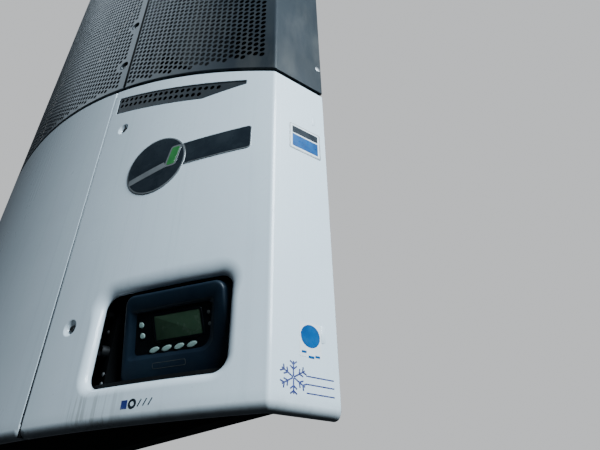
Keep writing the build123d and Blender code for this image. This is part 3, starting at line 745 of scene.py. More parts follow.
def coverPaint():
    look = coverLook
    paint = Paint("coverWhite", Coat_Weight=look["coat"][0], Coat_Roughness=look["coat"][1])
    x, z = paint.axis("X"), paint.axis("Z")
    film, streaks = paint.noise("film", look["filmScale"]), paint.noise("streaks", look["streakScale"])
    tint = paint.mix(look["white"], look["film"], look["filmShare"] * film + look["streakShare"] * streaks)
    # dirty water has run down from the corner of the display recess
    left, fullLeft, fullRight, right = look["dripX"]
    across = x.between(left, fullLeft) * x.between(right, fullRight)
    under = z.between(lowEdge + look["dripTop"], lowEdge + look["dripTop"] - look["dripFade"])
    runs = paint.noise("runs", look["runScale"])
    tint = paint.mix(tint, look["drip"], look["dripShare"] * across * under * runs)
    # road dirt along the lower lip, and small spots all over
    lip = z.between(*(lowEdge + height for height in look["lipZ"]))
    dirt = lip * (look["lipShare"] + look["speckShare"] * paint.noise("specks", look["speckScale"]))
    tint = paint.mix(tint, look["grime"], dirt)
    tint = paint.mix(tint, look["grime"], look["spotShare"] * paint.noise("spots", look["spotScale"]))
    ofFilm, ofStreaks, ofLip = look["roughShares"]
    rough = look["rough"] + ofFilm * film + ofStreaks * streaks + ofLip * lip
    scale, distance = look["peel"]
    paint.feed(Base_Color=tint, Roughness=rough, Normal=paint.bump(paint.noise("peel", scale), distance))
    return paint.material


coverWhite = coverPaint()
grilleGrey = makeFinish("grilleGrey", {
    "dark": (33, 39, 44), "light": (44, 50, 55), "cloud": 3.0, "rough": 0.305, "vary": 0.03, "metal": 0.1,
    "mirror": 0.2, "dust": ((96, 93, 87), 0.25, (7.0, 7.0, 2.2)), "grain": (650.0, 0.00005)})
blackMould = makeFinish("blackMould", {
    "dark": (10, 11, 13), "light": (18, 20, 22), "cloud": 8.0, "rough": 0.6, "vary": 0.2, "mirror": 0.25,
    "dust": ((50, 48, 45), 0.2, 14.0), "grain": (900.0, 0.00006)})
deepBlack = makeFinish("deepBlack", {
    "dark": (4, 5, 6), "light": (8, 9, 10), "cloud": 6.0, "rough": 0.85, "vary": 0.1, "mirror": 0.05,
    "dust": ((22, 21, 19), 0.2, 12.0), "grain": (500.0, 0.0001)})
zincSteel = makeFinish("zincSteel", {
    "dark": (120, 122, 124), "light": (168, 170, 172), "cloud": 30.0, "rough": 0.36, "vary": 0.25, "metal": 0.9,
    "dust": ((92, 84, 74), 0.5, 60.0), "grain": (500.0, 0.00003)})
say("main finishes")

# White cover: centre panel and two doors

cover = {"skin": 0.004, "rim": 0.020, "lipRound": 0.016, "edgeRound": 0.0025, "flange": 0.022,
         "topFlange": 0.006}
recess = {"x": 0.8185, "z": 0.1575, "size": (0.287, 0.181), "corner": 0.028, "smallCorner": 0.024,
          "flare": 0.018, "topFlare": 0.013, "flareFrom": 0.3, "flareDepth": 0.015, "wall": 0.018,
          "collar": 0.025}
slit = {"fromSeam": 0.020, "fromFold": 0.062, "drop": 0.0345, "startHeight": 0.062, "startSlant": 0.001,
        "endHeight": 0.012, "heelFromFold": 0.167, "heelHeight": 0.020, "corner": 0.0022, "heelRound": 0.03,
        "round": 0.002, "wall": 0.016, "collar": 0.010}
# bowl: how far out and how deep each ring of a dimple lies
latch = {"fromSeam": 0.0645, "lowZ": 0.195, "upperDrop": 0.1645, "dish": 0.009, "dishDepth": 0.009, "sides": 28,
         "bowl": ((0.0095, 0.0), (0.0082, 0.0002), (0.0065, 0.0011), (0.0045, 0.0028), (0.0027, 0.0050),
                  (0.0011, 0.0075), (0.0, 0.009)),
         "bossWidth": 0.004, "boss": 0.024}
hingeBlock = {"heights": (0.1373, 0.6673), "fromFold": 0.0035, "y": -0.036, "size": (0.025, 0.018, 0.034),
              "round": 0.002}


def slitLoop():
    startX, endX = unit["seamX"] + slit["fromSeam"], unit["foldX"] - slit["fromFold"]
    startZ, endZ = archHeight(startX) - slit["drop"], archHeight(endX) - slit["drop"]
    corners = [
        (pathAt(startX), startZ), (pathAt(startX + slit["startSlant"]), startZ - slit["startHeight"]),
        (pathAt(unit["foldX"] - slit["heelFromFold"]), endZ - slit["heelHeight"]),
        (pathAt(endX), endZ - slit["endHeight"]), (pathAt(endX), endZ),
    ]
    c = slit["corner"]
    return divided(roundedLoop(corners, [c, c, slit["heelRound"], c, c], 3))


def recessLoop():
    middle, half, rise = pathAt(recess["x"]), recess["size"][0] / 2, recess["size"][1] / 2
    wide = recess["corner"]
    return boxLoop((middle - half, recess["z"] - rise), (middle + half, recess["z"] + rise),
                   [recess["smallCorner"], wide, wide, wide], 8, mesh3d["loop"])


def recessFlare(s, z):
    # the flare is wider over the opening
    share = (z - recess["z"]) / (recess["size"][1] / 2)
    share = min(1, max(0, (share - recess["flareFrom"]) / (1 - recess["flareFrom"])))
    return 1 + recess["topFlare"] / recess["flare"] * share * share * (3 - 2 * share)


def latchPlaces():
    x = unit["seamX"] + latch["fromSeam"]
    return [(pathAt(x), latch["lowZ"]), (pathAt(x), archHeight(x) - latch["upperDrop"])]


def opening(loop, width, depth, count, form):
    # a hole whose edge rolls in from the face, with a wall and a collar behind the skin
    turns = [math.pi / 2 * k / count for k in range(count + 1)]
    edge = [(width * (1 - math.sin(a)), depth * (1 - math.cos(a))) for a in turns]
    return {"loop": loop, "steps": edge + [(0.0, form["wall"]), (form["collar"], form["wall"]),
                                           (form["collar"], cover["skin"])]}


def doorFeatures(side):
    # only the right door has the recess; the left door has the rest on its own side
    features = [opening(slitLoop(), slit["round"], slit["round"], 3, slit)]
    if side > 0:
        features.append(opening(recessLoop(), recess["flare"], recess["flareDepth"], 8, recess))
        features[-1]["widen"] = recessFlare
    for place in latchPlaces():
        features.append({
            "loop": ringLoop(place, latch["dish"], latch["sides"]), "steps": latch["bowl"],
            "boss": [(latch["bossWidth"], cover["skin"]), (latch["bossWidth"], latch["boss"])]})
    return features if side > 0 else [dict(f, loop=mirrored(f["loop"])) for f in features]


def addHingeBlocks(sheet, side):
    # the two hinge blocks on the inside of a door
    form = Form()
    for height in hingeBlock["heights"]:
        place = (side * (unit["foldX"] + hingeBlock["fromFold"]), hingeBlock["y"], lowEdge + height)
        form.block(Matrix.Translation(place), hingeBlock["size"], hingeBlock["round"])
    start = len(sheet.points)
    sheet.points += form.points
    sheet.normals += [(0.0, 0.0, 0.0)] * len(form.points)
    sheet.faces += [tuple(start + k for k in face) for face in form.faces]


def addCover():
    half = unit["doorGap"] / 2
    seam, inner = pathAt(unit["seamX"] + half), pathAt(unit["seamX"] - half)
    lip = {"round": cover["lipRound"], "flange": cover["flange"]}
    edge, thin = ({"round": cover["edgeRound"], "flange": cover[k]} for k in ("flange", "topFlange"))
    for name, node, body, side, start, end in (
            ("rightDoor", "right_door", "right_door", 1, seam, rearS),
            ("leftDoor", "left_door", "left_door", -1, -rearS, -seam),
            ("centrePanel", "centre_panel", "root", 0, -inner, inner)):
        # lower, right, upper and left edge
        styles = [lip, thin if side > 0 else edge, thin if side else edge, thin if side < 0 else edge]
        features = doorFeatures(side) if side else []
        sheet, fronts, backs = sheetPanel(start, end, 0.0, archOver, styles, features,
                                          cover["skin"], cover["rim"])
        sheet.fill(fronts, 0.0, True)
        sheet.fill(backs, cover["skin"], False)
        if side:
            addHingeBlocks(sheet, side)
        addPiece(name, sheet, body, coverWhite, "white_cover", [node])


addCover()
say("white cover")

# Thin things on the front: plates, bars and marks that follow it

def raisedPlate(sheet, loops, rise, base, bevel, sunk=0.0004):
    # plate that follows the front, from base to base + rise, with holes where more loops are given
    fronts, backs = [], []
    for k, loop in enumerate(loops):
        front = sheet.ring(shifted(loop, -bevel if k == 0 else bevel), -base - rise, smooth=True)
        edge = sheet.ring(loop, -base - rise + bevel)
        back = sheet.ring(loop, sunk - base)
        sheet.bands([front, edge, back] if k == 0 else [back, edge, front])
        fronts.append(front)
        backs.append(back)
    sheet.fill(fronts, -base - rise, True)
    sheet.fill(backs, sunk - base, False)


def barLoop(a, b, width):
    a, b = Vector(a), Vector(b)
    half = (b - a).normalized() * (width / 2)
    side = Vector((half.y, -half.x))
    return [tuple(a + side), tuple(b + side), tuple(b - side), tuple(a - side)]


# Slit vents: a plate with two rows of holes

vent = {
    "depth": 0.0014, "lip": 0.0004, "slope": 0.0012, "skin": 0.0012, "clear": 0.0003, "back": 0.0155,
    "hole": 0.0064, "holeSides": 14,
    "rows": ((0.5940, 0.8700, 0.918, 0.769, 19), (0.5966, 0.8490, 0.863, 0.7655, 16)),
}
ventGrey = makeFinish("ventGrey", {
    "dark": (30, 34, 38), "light": (38, 43, 47), "cloud": 12.0, "rough": 0.5, "vary": 0.12, "mirror": 0.2,
    "dust": ((66, 64, 60), 0.25, 22.0), "grain": (700.0, 0.00005)})


def addVent(name, side, body, node):
    loops = [shifted(slitLoop(), -vent["clear"])]
    for fromS, fromZ, toS, toZ, count in vent["rows"]:
        for k in range(count):
            share = k / (count - 1)
            centre = (fromS + (toS - fromS) * share, fromZ + (toZ - fromZ) * share)
            loops.append(ringLoop(centre, vent["hole"], vent["holeSides"]))
    outer, *holes = loops if side > 0 else [mirrored(loop) for loop in loops]
    sheet = Sheet()
    front, back = vent["depth"], vent["depth"] + vent["skin"]
    inner, dish = shifted(outer, -vent["skin"]), shifted(outer, -vent["slope"])
    fronts = [sheet.ring(loop, front, smooth=True) for loop in [dish] + holes]
    backs = [sheet.ring(loop, back) for loop in [inner] + holes]
    for near, far in zip(fronts[1:], backs[1:]):
        sheet.band(far, near)
    # the rim lines the opening: up its sloped inside, over the lip, and back along its outside
    lip, rim = ([sheet.ring(loop, vent[k]) for loop in (inner, outer)] for k in ("lip", "back"))
    sheet.bands([fronts[0], *lip, *rim[::-1], backs[0]])
    sheet.fill(fronts, front, True)
    sheet.fill(backs, back, False)
    return addPiece(name, sheet, body, ventGrey, "black_plastic", [node])


vents = [addVent("rightVent", 1, "right_door", "right_vent"), addVent("leftVent", -1, "left_door", "left_vent")]
say("slit vents")

# Quarter-turn latches in their dimples: turned profiles as (radius, height), heads from the dimple's floor

stud = {
    "head": ((0.0078, -0.0005), (0.0078, 0.0008), (0.0066, 0.0011), (0.0066, 0.0034), (0.0058, 0.0042),
             (0.0, 0.0042)),
    "shaft": ((0.0035, -0.025), (0.0035, -0.014)), "nut": ((0.006, -0.0255), (0.006, -0.0240)),
    "cam": (0.026, 0.013, 0.0025), "camRound": 0.0008, "camAside": 0.008, "camHeight": -0.0228,
    "slot": (0.0098, 0.0021, 0.0012), "slotRound": 0.0003, "slotHeight": 0.0042, "turn": 35.0,
}
latchSteel = makeFinish("latchSteel", {
    "dark": (74, 76, 78), "light": (120, 122, 124), "cloud": 60.0, "rough": 0.34, "vary": 0.25, "metal": 0.85,
    "dust": ((58, 52, 46), 0.5, 120.0), "grain": (800.0, 0.00003)})


def addLatches(name, side, body, node):
    form, slots = Form(), Form()
    turn = Matrix.Rotation(math.radians(stud["turn"]), 4, "Z")
    for s, z in latchPlaces():
        place = surfacePlace(side * s, z, latch["dishDepth"])
        form.lathe(place, stud["head"])
        form.lathe(place, stud["shaft"], 14)
        cam = Matrix.Translation((-side * stud["camAside"], 0.0, stud["camHeight"]))
        form.block(place @ cam, stud["cam"], stud["camRound"])
        form.lathe(place, stud["nut"], 6)
        slot = place @ Matrix.Translation((0, 0, stud["slotHeight"])) @ turn
        slots.block(slot, stud["slot"], stud["slotRound"])
    addPiece(name, form, body, latchSteel, "latch_steel", [node])
    addPiece(name + "Slots", slots, body, blackMould, "latch_steel")


addLatches("rightLatches", 1, "right_door", "right_latches")
addLatches("leftLatches", -1, "left_door", "left_latches")
say("latches")

# Filler strips behind the door seams, with the rubber foot at the lower end of each

seamStrip = {"width": 0.0047, "low": 0.0245, "topDrop": 0.020, "near": 0.0005, "far": 0.0042, "base": 0.014,
             "rubberFrom": 0.0012, "rubber": 0.0018}


def addSeamStrips():
    strip, foot = Sheet(), Sheet()
    middle, half, base = pathAt(unit["seamX"]), seamStrip["width"] / 2, seamStrip["base"]
    top = archHeight(unit["seamX"]) - seamStrip["topDrop"]
    for side in (-1, 1):
        for sheet, low, high, near, far in (
                (strip, seamStrip["low"], top, seamStrip["near"], seamStrip["far"]),
                (foot, seamStrip["rubberFrom"], seamStrip["low"], seamStrip["rubber"], seamStrip["rubber"])):
            profile = [(-half, base), (half, base), (half, far), (-half, near)]
            profile = profile if side > 0 else mirrored(profile)
            sheet.bar([[sheet.point(side * middle + s, z, depth) for s, depth in profile] for z in (low, high)])
    addPiece("seamStrips", strip, "root", coverWhite, "white_cover")
    addPiece("seamFeet", foot, "root", blackMould, "seal_rubber")


addSeamStrips()

# Bare nameplate: a disc and a bar, and the small plates and marks of the side face

foldS = (arcLength + sideFrom) / 2
# a thin plate is given by its thickness and bevel
badge = {
    "centre": (0.752, 0.5625), "radius": 0.0805, "rim": 0.0036, "sides": 72, "disc": (0.0022, 0.0008),
    "barEnd": 0.9685, "barZ": (0.5395, 0.6045), "barLine": 0.0022, "barCorner": 0.009, "barGap": 0.0808,
    "barTurns": (6, 8), "bar": (0.00176, 0.0006), "face": (0.0004, 0.0002),
}
accent = {"low": (0.043, -0.014), "high": (0.054, 0.036), "width": 0.021, "corner": 0.004, "border": 0.0045,
          "stripe": ((-0.068, -0.034), (0.028, -0.010)), "stripeWidth": 0.017, "stripeCorner": 0.003,
          "line": (0.0003, 0.0001)}
badgeMiddle = (pathAt(badge["centre"][0]), badge["centre"][1])


def barOutline(inset):
    # bar whose inner end is hollowed to follow the disc
    low, high = badge["barZ"][0] + inset, badge["barZ"][1] - inset
    right, corner = pathAt(badge["barEnd"]) - inset, badge["barCorner"] - inset
    reach = badge["barGap"] + inset
    fromTurn, toTurn = (math.asin((z - badgeMiddle[1]) / reach) for z in (high, low))
    cornerParts, hollowParts = badge["barTurns"]
    loop = []
    for centre, radius, start, end, parts in (
            ((right - corner, low + corner), corner, -math.pi / 2, 0.0, cornerParts),
            ((right - corner, high - corner), corner, 0.0, math.pi / 2, cornerParts),
            (badgeMiddle, reach, fromTurn, toTurn, hollowParts)):
        turns = [start + (end - start) * k / parts for k in range(parts + 1)]
        loop += [(centre[0] + radius * math.cos(a), centre[1] + radius * math.sin(a)) for a in turns]
    return divided(loop)


def addBadge():
    silver, navy, green = Sheet(), Sheet(), Sheet()
    wide, middle = Vector((accent["width"] / 2, 0)), Vector(badgeMiddle)
    low, high = middle + Vector(accent["low"]), middle + Vector(accent["high"])
    lean = [tuple(p) for p in (low - wide, low + wide, high + wide, high - wide)]
    lean = divided(roundedLoop(lean, accent["corner"], 4))
    stripe = barLoop(*(middle + Vector(p) for p in accent["stripe"]), accent["stripeWidth"])
    rise, barRise = badge["disc"][0], badge["bar"][0]
    overFace = rise + badge["face"][0]
    for sheet, loop, plate, base in (
            (silver, ringLoop(badgeMiddle, badge["radius"], badge["sides"]), badge["disc"], 0.0),
            (silver, barOutline(0.0), badge["bar"], 0.0),
            (navy, ringLoop(badgeMiddle, badge["radius"] - badge["rim"], badge["sides"]), badge["face"], rise),
            (navy, barOutline(badge["barLine"]), badge["face"], barRise),
            (silver, shifted(lean, accent["border"]), accent["line"], overFace),
            (green, lean, badge["face"], overFace + accent["line"][0]),
            (silver, divided(roundedLoop(stripe, accent["stripeCorner"], 4)), accent["line"], overFace)):
        raisedPlate(sheet, [loop], plate[0], base, plate[1])
    addPiece("badgeRim", silver, "right_door", badgeSilver, "latch_steel")
    addPiece("badgeFace", navy, "right_door", badgeNavy, "black_plastic")
    addPiece("badgeAccent", green, "right_door", badgeGreen, None)


# places on the side face are counted from the fold
mark = {"rise": 0.0003, "bevel": 0.0001}
sidePlate = {"low": (0.040, 0.549), "high": (0.126, 0.625), "plate": (0.0010, 0.0004), "corner": 0.004,
             "rim": 0.0035, "rimCorner": 0.002, "margin": 0.008, "fieldCorner": 0.001, "band": 0.020,
             "gap": 0.004}
sticker = {"centre": (0.082, 0.129), "radius": 0.0205, "sides": 36, "card": ((0.059, 0.092), (0.105, 0.153)),
           "cardCorner": 0.002, "dashes": ((0.068, 0.100, 0.010), (0.083, 0.093, 0.012), (0.096, 0.095, 0.010)),
           "dashWidth": 0.004}
emblem = {"centre": (0.046, 0.0545), "hub": 0.001, "arm": 0.026, "width": 0.0026, "tick": 0.0085,
          "tickAt": (0.5, 0.8), "bend": 0.9, "apart": 0.000002,
          "lines": (0.033, 0.047, 0.060), "lineFrom": 0.071, "lineTo": 0.129, "lineWidth": 0.0022}
smallMarks = {"x": 0.779, "z": (0.0205, 0.0385), "boxWidth": 0.0125, "boxInset": 0.002,
              "ringAt": 0.0225, "ring": ((0.00828, 24), (0.00396, 16)), "ringBevel": 0.00008,
              "bars": (0.0340, 0.0445, 0.0550), "lean": 0.006, "barInset": (0.004, 0.003), "barWidth": 0.0022}


def starBars():
    # frost star: six arms with two pairs of ticks each
    centre = Vector((foldS + emblem["centre"][0], emblem["centre"][1]))
    bars = []
    for k in range(6):
        turn = math.radians(90 + 60 * k)
        way = Vector((math.cos(turn), math.sin(turn)))
        bars.append((centre + way * emblem["hub"], centre + way * emblem["arm"]))
        for share in emblem["tickAt"]:
            root = centre + way * (emblem["arm"] * share)
            for bend in (turn - emblem["bend"], turn + emblem["bend"]):
                bars.append((root, root + Vector((math.cos(bend), math.sin(bend))) * emblem["tick"]))
    return bars


def addMarks():
    ink, blue, white, dark, silver = Sheet(), Sheet(), Sheet(), Sheet(), Sheet()
    thin = mark["rise"]

    def lay(sheet, loop, base=0.0, more=0.0):
        raisedPlate(sheet, [loop], thin + more, base, mark["bevel"])

    # plain plate with a dark band over a blue field
    (start, low), (end, high) = ((foldS + s, z) for s, z in (sidePlate["low"], sidePlate["high"]))
    rise, bevel = sidePlate["plate"]
    rim, margin, corner = sidePlate["rim"], sidePlate["margin"], sidePlate["fieldCorner"]
    split = high - margin - sidePlate["band"]
    raisedPlate(silver, [boxLoop((start, low), (end, high), sidePlate["corner"])], rise, 0.0, bevel)
    lay(white, boxLoop((start + rim, low + rim), (end - rim, high - rim), sidePlate["rimCorner"]), rise)
    start, end = start + margin, end - margin
    lay(dark, boxLoop((start, split), (end, high - margin), corner), rise + thin)
    lay(blue, boxLoop((start, low + margin), (end, split - sidePlate["gap"]), corner), rise + thin)
    # round sticker on a clear card
    lay(white, boxLoop(*((foldS + s, z) for s, z in sticker["card"]), sticker["cardCorner"]))
    s, z = sticker["centre"]
    lay(blue, ringLoop((foldS + s, z), sticker["radius"], sticker["sides"]), thin)
    for s, z, length in sticker["dashes"]:
        ends = [(foldS + s + half, z) for half in (-length / 2, length / 2)]
        lay(blue, barLoop(*ends, sticker["dashWidth"]), thin)
    # frost star with lines beside it
    for k, (a, b) in enumerate(starBars(), 1):
        lay(ink, barLoop(a, b, emblem["width"]), 0.0, k * emblem["apart"])
    for z in emblem["lines"]:
        ends = [(foldS + emblem[k], z) for k in ("lineFrom", "lineTo")]
        lay(ink, divided(barLoop(*ends, emblem["lineWidth"]), mesh3d["longLoop"]))
    # row of small plain marks under the display
    start, (low, high), inset = pathAt(smallMarks["x"]), smallMarks["z"], smallMarks["boxInset"]
    lay(ink, boxLoop((start, low + inset), (start + smallMarks["boxWidth"], high - inset)))
    middle = (start + smallMarks["ringAt"], (low + high) / 2)
    rings = [ringLoop(middle, *ring) for ring in smallMarks["ring"]]
    raisedPlate(dark, rings, thin, 0.0, smallMarks["ringBevel"])
    foot, top = smallMarks["barInset"]
    for left in (start + shift for shift in smallMarks["bars"]):
        lay(dark, barLoop((left, low + foot), (left + smallMarks["lean"], high - top), smallMarks["barWidth"]))
    for name, sheet, finish in (("sidePlateRim", silver, badgeSilver), ("markInk", ink, inkBlue),
                                ("markBlue", blue, stickerBlue), ("markWhite", white, stickerWhite),
                                ("markDark", dark, badgeNavy)):
        addPiece(name, sheet, "right_door", finish, None)


badgeSilver = makeFinish("badgeSilver", {
    "dark": (150, 154, 156), "light": (176, 180, 182), "cloud": 20.0, "rough": 0.3, "vary": 0.15, "metal": 0.7,
    "dust": ((120, 116, 108), 0.25, 40.0), "grain": (900.0, 0.00002)})
badgeNavy = makeFinish("badgeNavy", {
    "dark": (26, 32, 38), "light": (35, 42, 48), "cloud": 9.0, "rough": 0.27, "vary": 0.1, "mirror": 0.15,
    "dust": ((70, 74, 76), 0.15, 18.0), "grain": (1100.0, 0.00002)})
badgeGreen = makeFinish("badgeGreen", {
    "dark": (38, 104, 52), "light": (50, 122, 62), "cloud": 30.0, "rough": 0.32, "vary": 0.1, "coat": 0.2,
    "grain": (900.0, 0.00002)})
stickerBlue = makeFinish("stickerBlue", {
    "dark": (0, 66, 122), "light": (2, 82, 142), "cloud": 40.0, "rough": 0.28, "mirror": 0.2, "vary": 0.1,
    "dust": ((70, 96, 112), 0.2, 60.0), "grain": (900.0, 0.00002)})
stickerWhite = makeFinish("stickerWhite", {
    "dark": (214, 219, 221), "light": (230, 233, 234), "cloud": 25.0, "rough": 0.4, "vary": 0.12,
    "grain": (900.0, 0.00002)})
inkBlue = makeFinish("inkBlue", {
    "dark": (28, 36, 98), "light": (38, 50, 116), "cloud": 60.0, "rough": 0.42, "vary": 0.12,
    "dust": ((110, 120, 150), 0.3, 120.0), "grain": (900.0, 0.00002)})
addBadge()
addMarks()
say("plates and marks")

# Display in its recess: mm on its own face, U to the right and V up

display = {
    "centre": (0.8082, -0.2188, 0.1595), "heading": 26.05, "tilt": 22.0, "depth": 45.0, "mm": 0.001,
    "body": ((-122, -87), (114, -85), (121, 81), (-91, 81)), "bodyRound": (20, 46, 20, 20), "edge": 6.0,
    "field": ((-98, -39), (84, -39), (98, 51), (-82, 51)), "fieldRound": (7, 26, 8, 8),
    "fieldLip": (2.0, 0.3, -0.8),       # width, and the heights that it falls between
    "floor": ((-86, -32), (74, -34), (90, 46), (-73, 46)), "floorDeep": 7.5, "plate": (-0.6, 0.1),
    "floorShift": (-4.8, -0.4),
    "screen": ((-29, -9.5), (70, -9), (68, 36), (-31, 36)), "screenCorner": 2.5, "screenGap": 0.05,
    "screenFrame": 4.0, "frameFloor": 0.3,
    "keys": (-36, -9, 18, 45), "keysV": -25.5, "keySize": (21.5, 9.6), "keyTurn": 13.0, "collar": 2.4,
    "roundKeys": ((-60, 23.5), (-59.5, 3.0)), "roundKey": 10.8, "dots": ((85, 27), (85, 6)), "dot": 6.8,
    "strip": ((-43, -60), (28, -60), (28, -49), (-43, -49)), "stripCorner": 3.5, "stripLine": 0.9,
    "stripHeights": (-0.5, 0.35, 0.1),
}
# height over the floor, radius and steps of each rounded edge
softEdge = {"frame": (1.6, 0.8, 3), "screen": (0.9, 0.3, 2), "key": (2.2, 1.5, 5), "collar": (0.8, 0.4, 2),
            "roundKey": (2.2, 1.6, 5), "dot": (0.9, 0.5, 2)}


def displayPlace(u=0.0, v=0.0, turn=0.0):
    heading, tilt = math.radians(display["heading"]), math.radians(display["tilt"])
    out = Vector((math.sin(heading) * math.cos(tilt), -math.cos(heading) * math.cos(tilt), -math.sin(tilt)))
    along = Vector((math.cos(heading), math.sin(heading), 0))
    x, y, z = display["centre"]
    face = Matrix((along, out.cross(along), out)).transposed().to_4x4()
    return (Matrix.Translation((x, y, z + lowEdge)) @ face @ Matrix.Diagonal((*[display["mm"]] * 3, 1))
            @ Matrix.Translation((u, v, 0.0)) @ Matrix.Rotation(math.radians(turn), 4, "Z"))


def softRise(loop, low, high, radius, steps):
    # levels of a solid whose upper edge is rounded
    levels = [(loop, low)]
    for k in range(steps + 1):
        turn = math.pi / 2 * k / steps
        levels.append((shifted(loop, -radius * (1 - math.cos(turn))), high - radius * (1 - math.sin(turn))))
    return levels


def ovalLoop(width, height, steps=28):
    return [(width / 2 * u, height / 2 * v) for u, v in ringLoop((0, 0), 1, steps)]


def addDisplay():
    outer, field, floor = (roundedLoop(display[k], display[r], 8) for k, r in (
        ("body", "bodyRound"), ("field", "fieldRound"), ("floor", "fieldRound")))
    body, plate, screen, frame, keys, marks = Form(), Form(), Form(), Form(), Form(), Form()
    face, low = displayPlace(), -display["floorDeep"]
    shiftU, shiftV = display["floorShift"]
    wide, top, under = display["fieldLip"]
    body.stack(face, softRise(outer, -display["depth"], 0.0, display["edge"], 6)
               + [(shifted(field, wide), top), (field, under), (floor, low)])
    plate.stack(face, [(floor, low + height) for height in display["plate"]])

    def risen(form, kind, loop, u=0.0, v=0.0, turn=0.0, more=()):
        rise, radius, steps = softEdge[kind]
        levels = softRise(loop, low, low + rise, radius, steps)
        levels += [(inner, low + height) for inner, height in more]
        form.stack(displayPlace(u + shiftU, v + shiftV, turn), levels)

    # screen in a narrow frame
    glass = roundedLoop(display["screen"], display["screenCorner"], 4)
    risen(frame, "frame", shifted(glass, display["screenFrame"]),
          more=[(glass, softEdge["frame"][0]), (glass, display["frameFloor"])])
    risen(screen, "screen", shifted(glass, -display["screenGap"]))
    for u in display["keys"]:
        spot = (u, display["keysV"], display["keyTurn"])
        risen(keys, "key", ovalLoop(*display["keySize"]), *spot)
        risen(frame, "collar", ovalLoop(*(size + display["collar"] for size in display["keySize"])), *spot)
    for spot in display["roundKeys"]:
        risen(keys, "roundKey", ovalLoop(display["roundKey"], display["roundKey"]), *spot)
    for spot in display["dots"]:
        risen(marks, "dot", ovalLoop(display["dot"], display["dot"], 20), *spot)
    # blank name strip: a raised outline on the lower rim
    outline = roundedLoop(display["strip"], display["stripCorner"], 5)
    inner = shifted(outline, -display["stripLine"])
    foot, top, inside = display["stripHeights"]
    marks.stack(face, [(outline, foot), (outline, top), (inner, top), (inner, inside)])
    for name, form, finish, slot, nodes in (
            ("displayBody", body, displayBlack, "display_plastic", ["display_housing"]),
            ("displayFace", plate, displayFace, "display_plastic", []),
            ("displayFrame", frame, displayFace, "display_plastic", []),
            ("displayScreen", screen, screenGreen, "screen_glass", ["display_screen"]),
            ("displayKeys", keys, keyRubber, "key_rubber", ["display_keys"]),
            ("displayMarks", marks, displayMark, "display_plastic", [])):
        addPiece(name, form, "root", finish, slot, nodes)


displayBlack = makeFinish("displayBlack", {
    "dark": (14, 27, 40), "light": (20, 36, 48), "cloud": 14.0, "rough": 0.42, "vary": 0.15, "mirror": 0.3,
    "dust": ((30, 40, 46), 0.2, 30.0), "grain": (1500.0, 0.00005)})
displayFace = makeFinish("displayFace", {
    "dark": (2, 4, 7), "light": (4, 7, 11), "cloud": 20.0, "rough": 0.4, "vary": 0.12, "mirror": 0.2,
    "dust": ((16, 20, 24), 0.2, 40.0), "grain": (1600.0, 0.00002)})
screenGreen = makeFinish("screenGreen", {
    "dark": (44, 64, 47), "light": (56, 76, 58), "cloud": 9.0, "rough": 0.24, "vary": 0.08, "mirror": 0.25,
    "dust": ((80, 92, 82), 0.2, 50.0), "grain": (1500.0, 0.00001)})
keyRubber = makeFinish("keyRubber", {
    "dark": (138, 166, 158), "light": (164, 190, 180), "cloud": 60.0, "rough": 0.6, "vary": 0.15,
    "dust": ((110, 116, 112), 0.4, 120.0), "grain": (1500.0, 0.00004)})
displayMark = makeFinish("displayMark", {
    "dark": (58, 62, 62), "light": (72, 76, 74), "cloud": 60.0, "rough": 0.5, "vary": 0.15,
    "grain": (1500.0, 0.00003)})
addDisplay()

# Sockets on a plate beside the display, at the edge of the recess; turned profiles as (radius, height)

sockets = {
    "plate": ((0.631, -0.268, 0.072), (0.674, -0.246, 0.268)), "round": 0.002,
    "rings": ((0.6500, 0.2330, 0.0120), (0.6600, 0.1500, 0.0115)), "floor": 0.0056,
    "ring": ((0.0, -0.001), (0.0, 0.0098), (0.0015, 0.014), (0.003, 0.014), (0.003, 0.0056)),   # inset, height
    "screws": ((0.6440, 0.1950), (0.6640, 0.1060), (0.6640, 0.0880)),
    "screw": ((0.0045, -0.001), (0.0045, 0.001), (0.0030, 0.0026), (0.0, 0.0030)),
}


def addSockets():
    plate, rings, screws = Form(), Form(), Form()
    low, high = (Vector(corner) + Vector((0, 0, lowEdge)) for corner in sockets["plate"])
    plate.block(Matrix.Translation((low + high) / 2), high - low, sockets["round"])

    def forward(x, z):
        return Matrix.Translation((x, low[1], z + lowEdge)) @ Matrix.Rotation(math.pi / 2, 4, "X")

    for x, z, radius in sockets["rings"]:
        wall = [(radius - inset, height) for inset, height in sockets["ring"]]
        rings.lathe(forward(x, z), wall + [(0.0, sockets["floor"])])
    for x, z in sockets["screws"]:
        screws.lathe(forward(x, z), sockets["screw"], 14)
    addPiece("socketPlate", plate, "root", deepBlack, "black_plastic")
    addPiece("socketRings", rings, "root", blackMould, "black_plastic")
    addPiece("socketScrews", screws, "root", zincSteel, "latch_steel")


addSockets()
say("display")

# Perforated grilles

grille = {
    "pitch": 0.0190, "columnGap": 0.0173, "hole": 0.0074, "skin": 0.0010, "rim": 0.0025, "flange": 0.022,
    "sideFlange": 0.006, "sideWeb": 0.0033, "lowWeb": 0.0050, "round": 0.0015,
    "firstS": 0.598, "side": (26, 10), "centre": (64, 8), "rowZ": 0.9332,     # columns, and corners of a hole
    "low": 0.0205, "leastLow": 0.0252, "lowS": 0.66, "farS": 1.023, "rise": 0.038, "topEdge": 0.050,
}
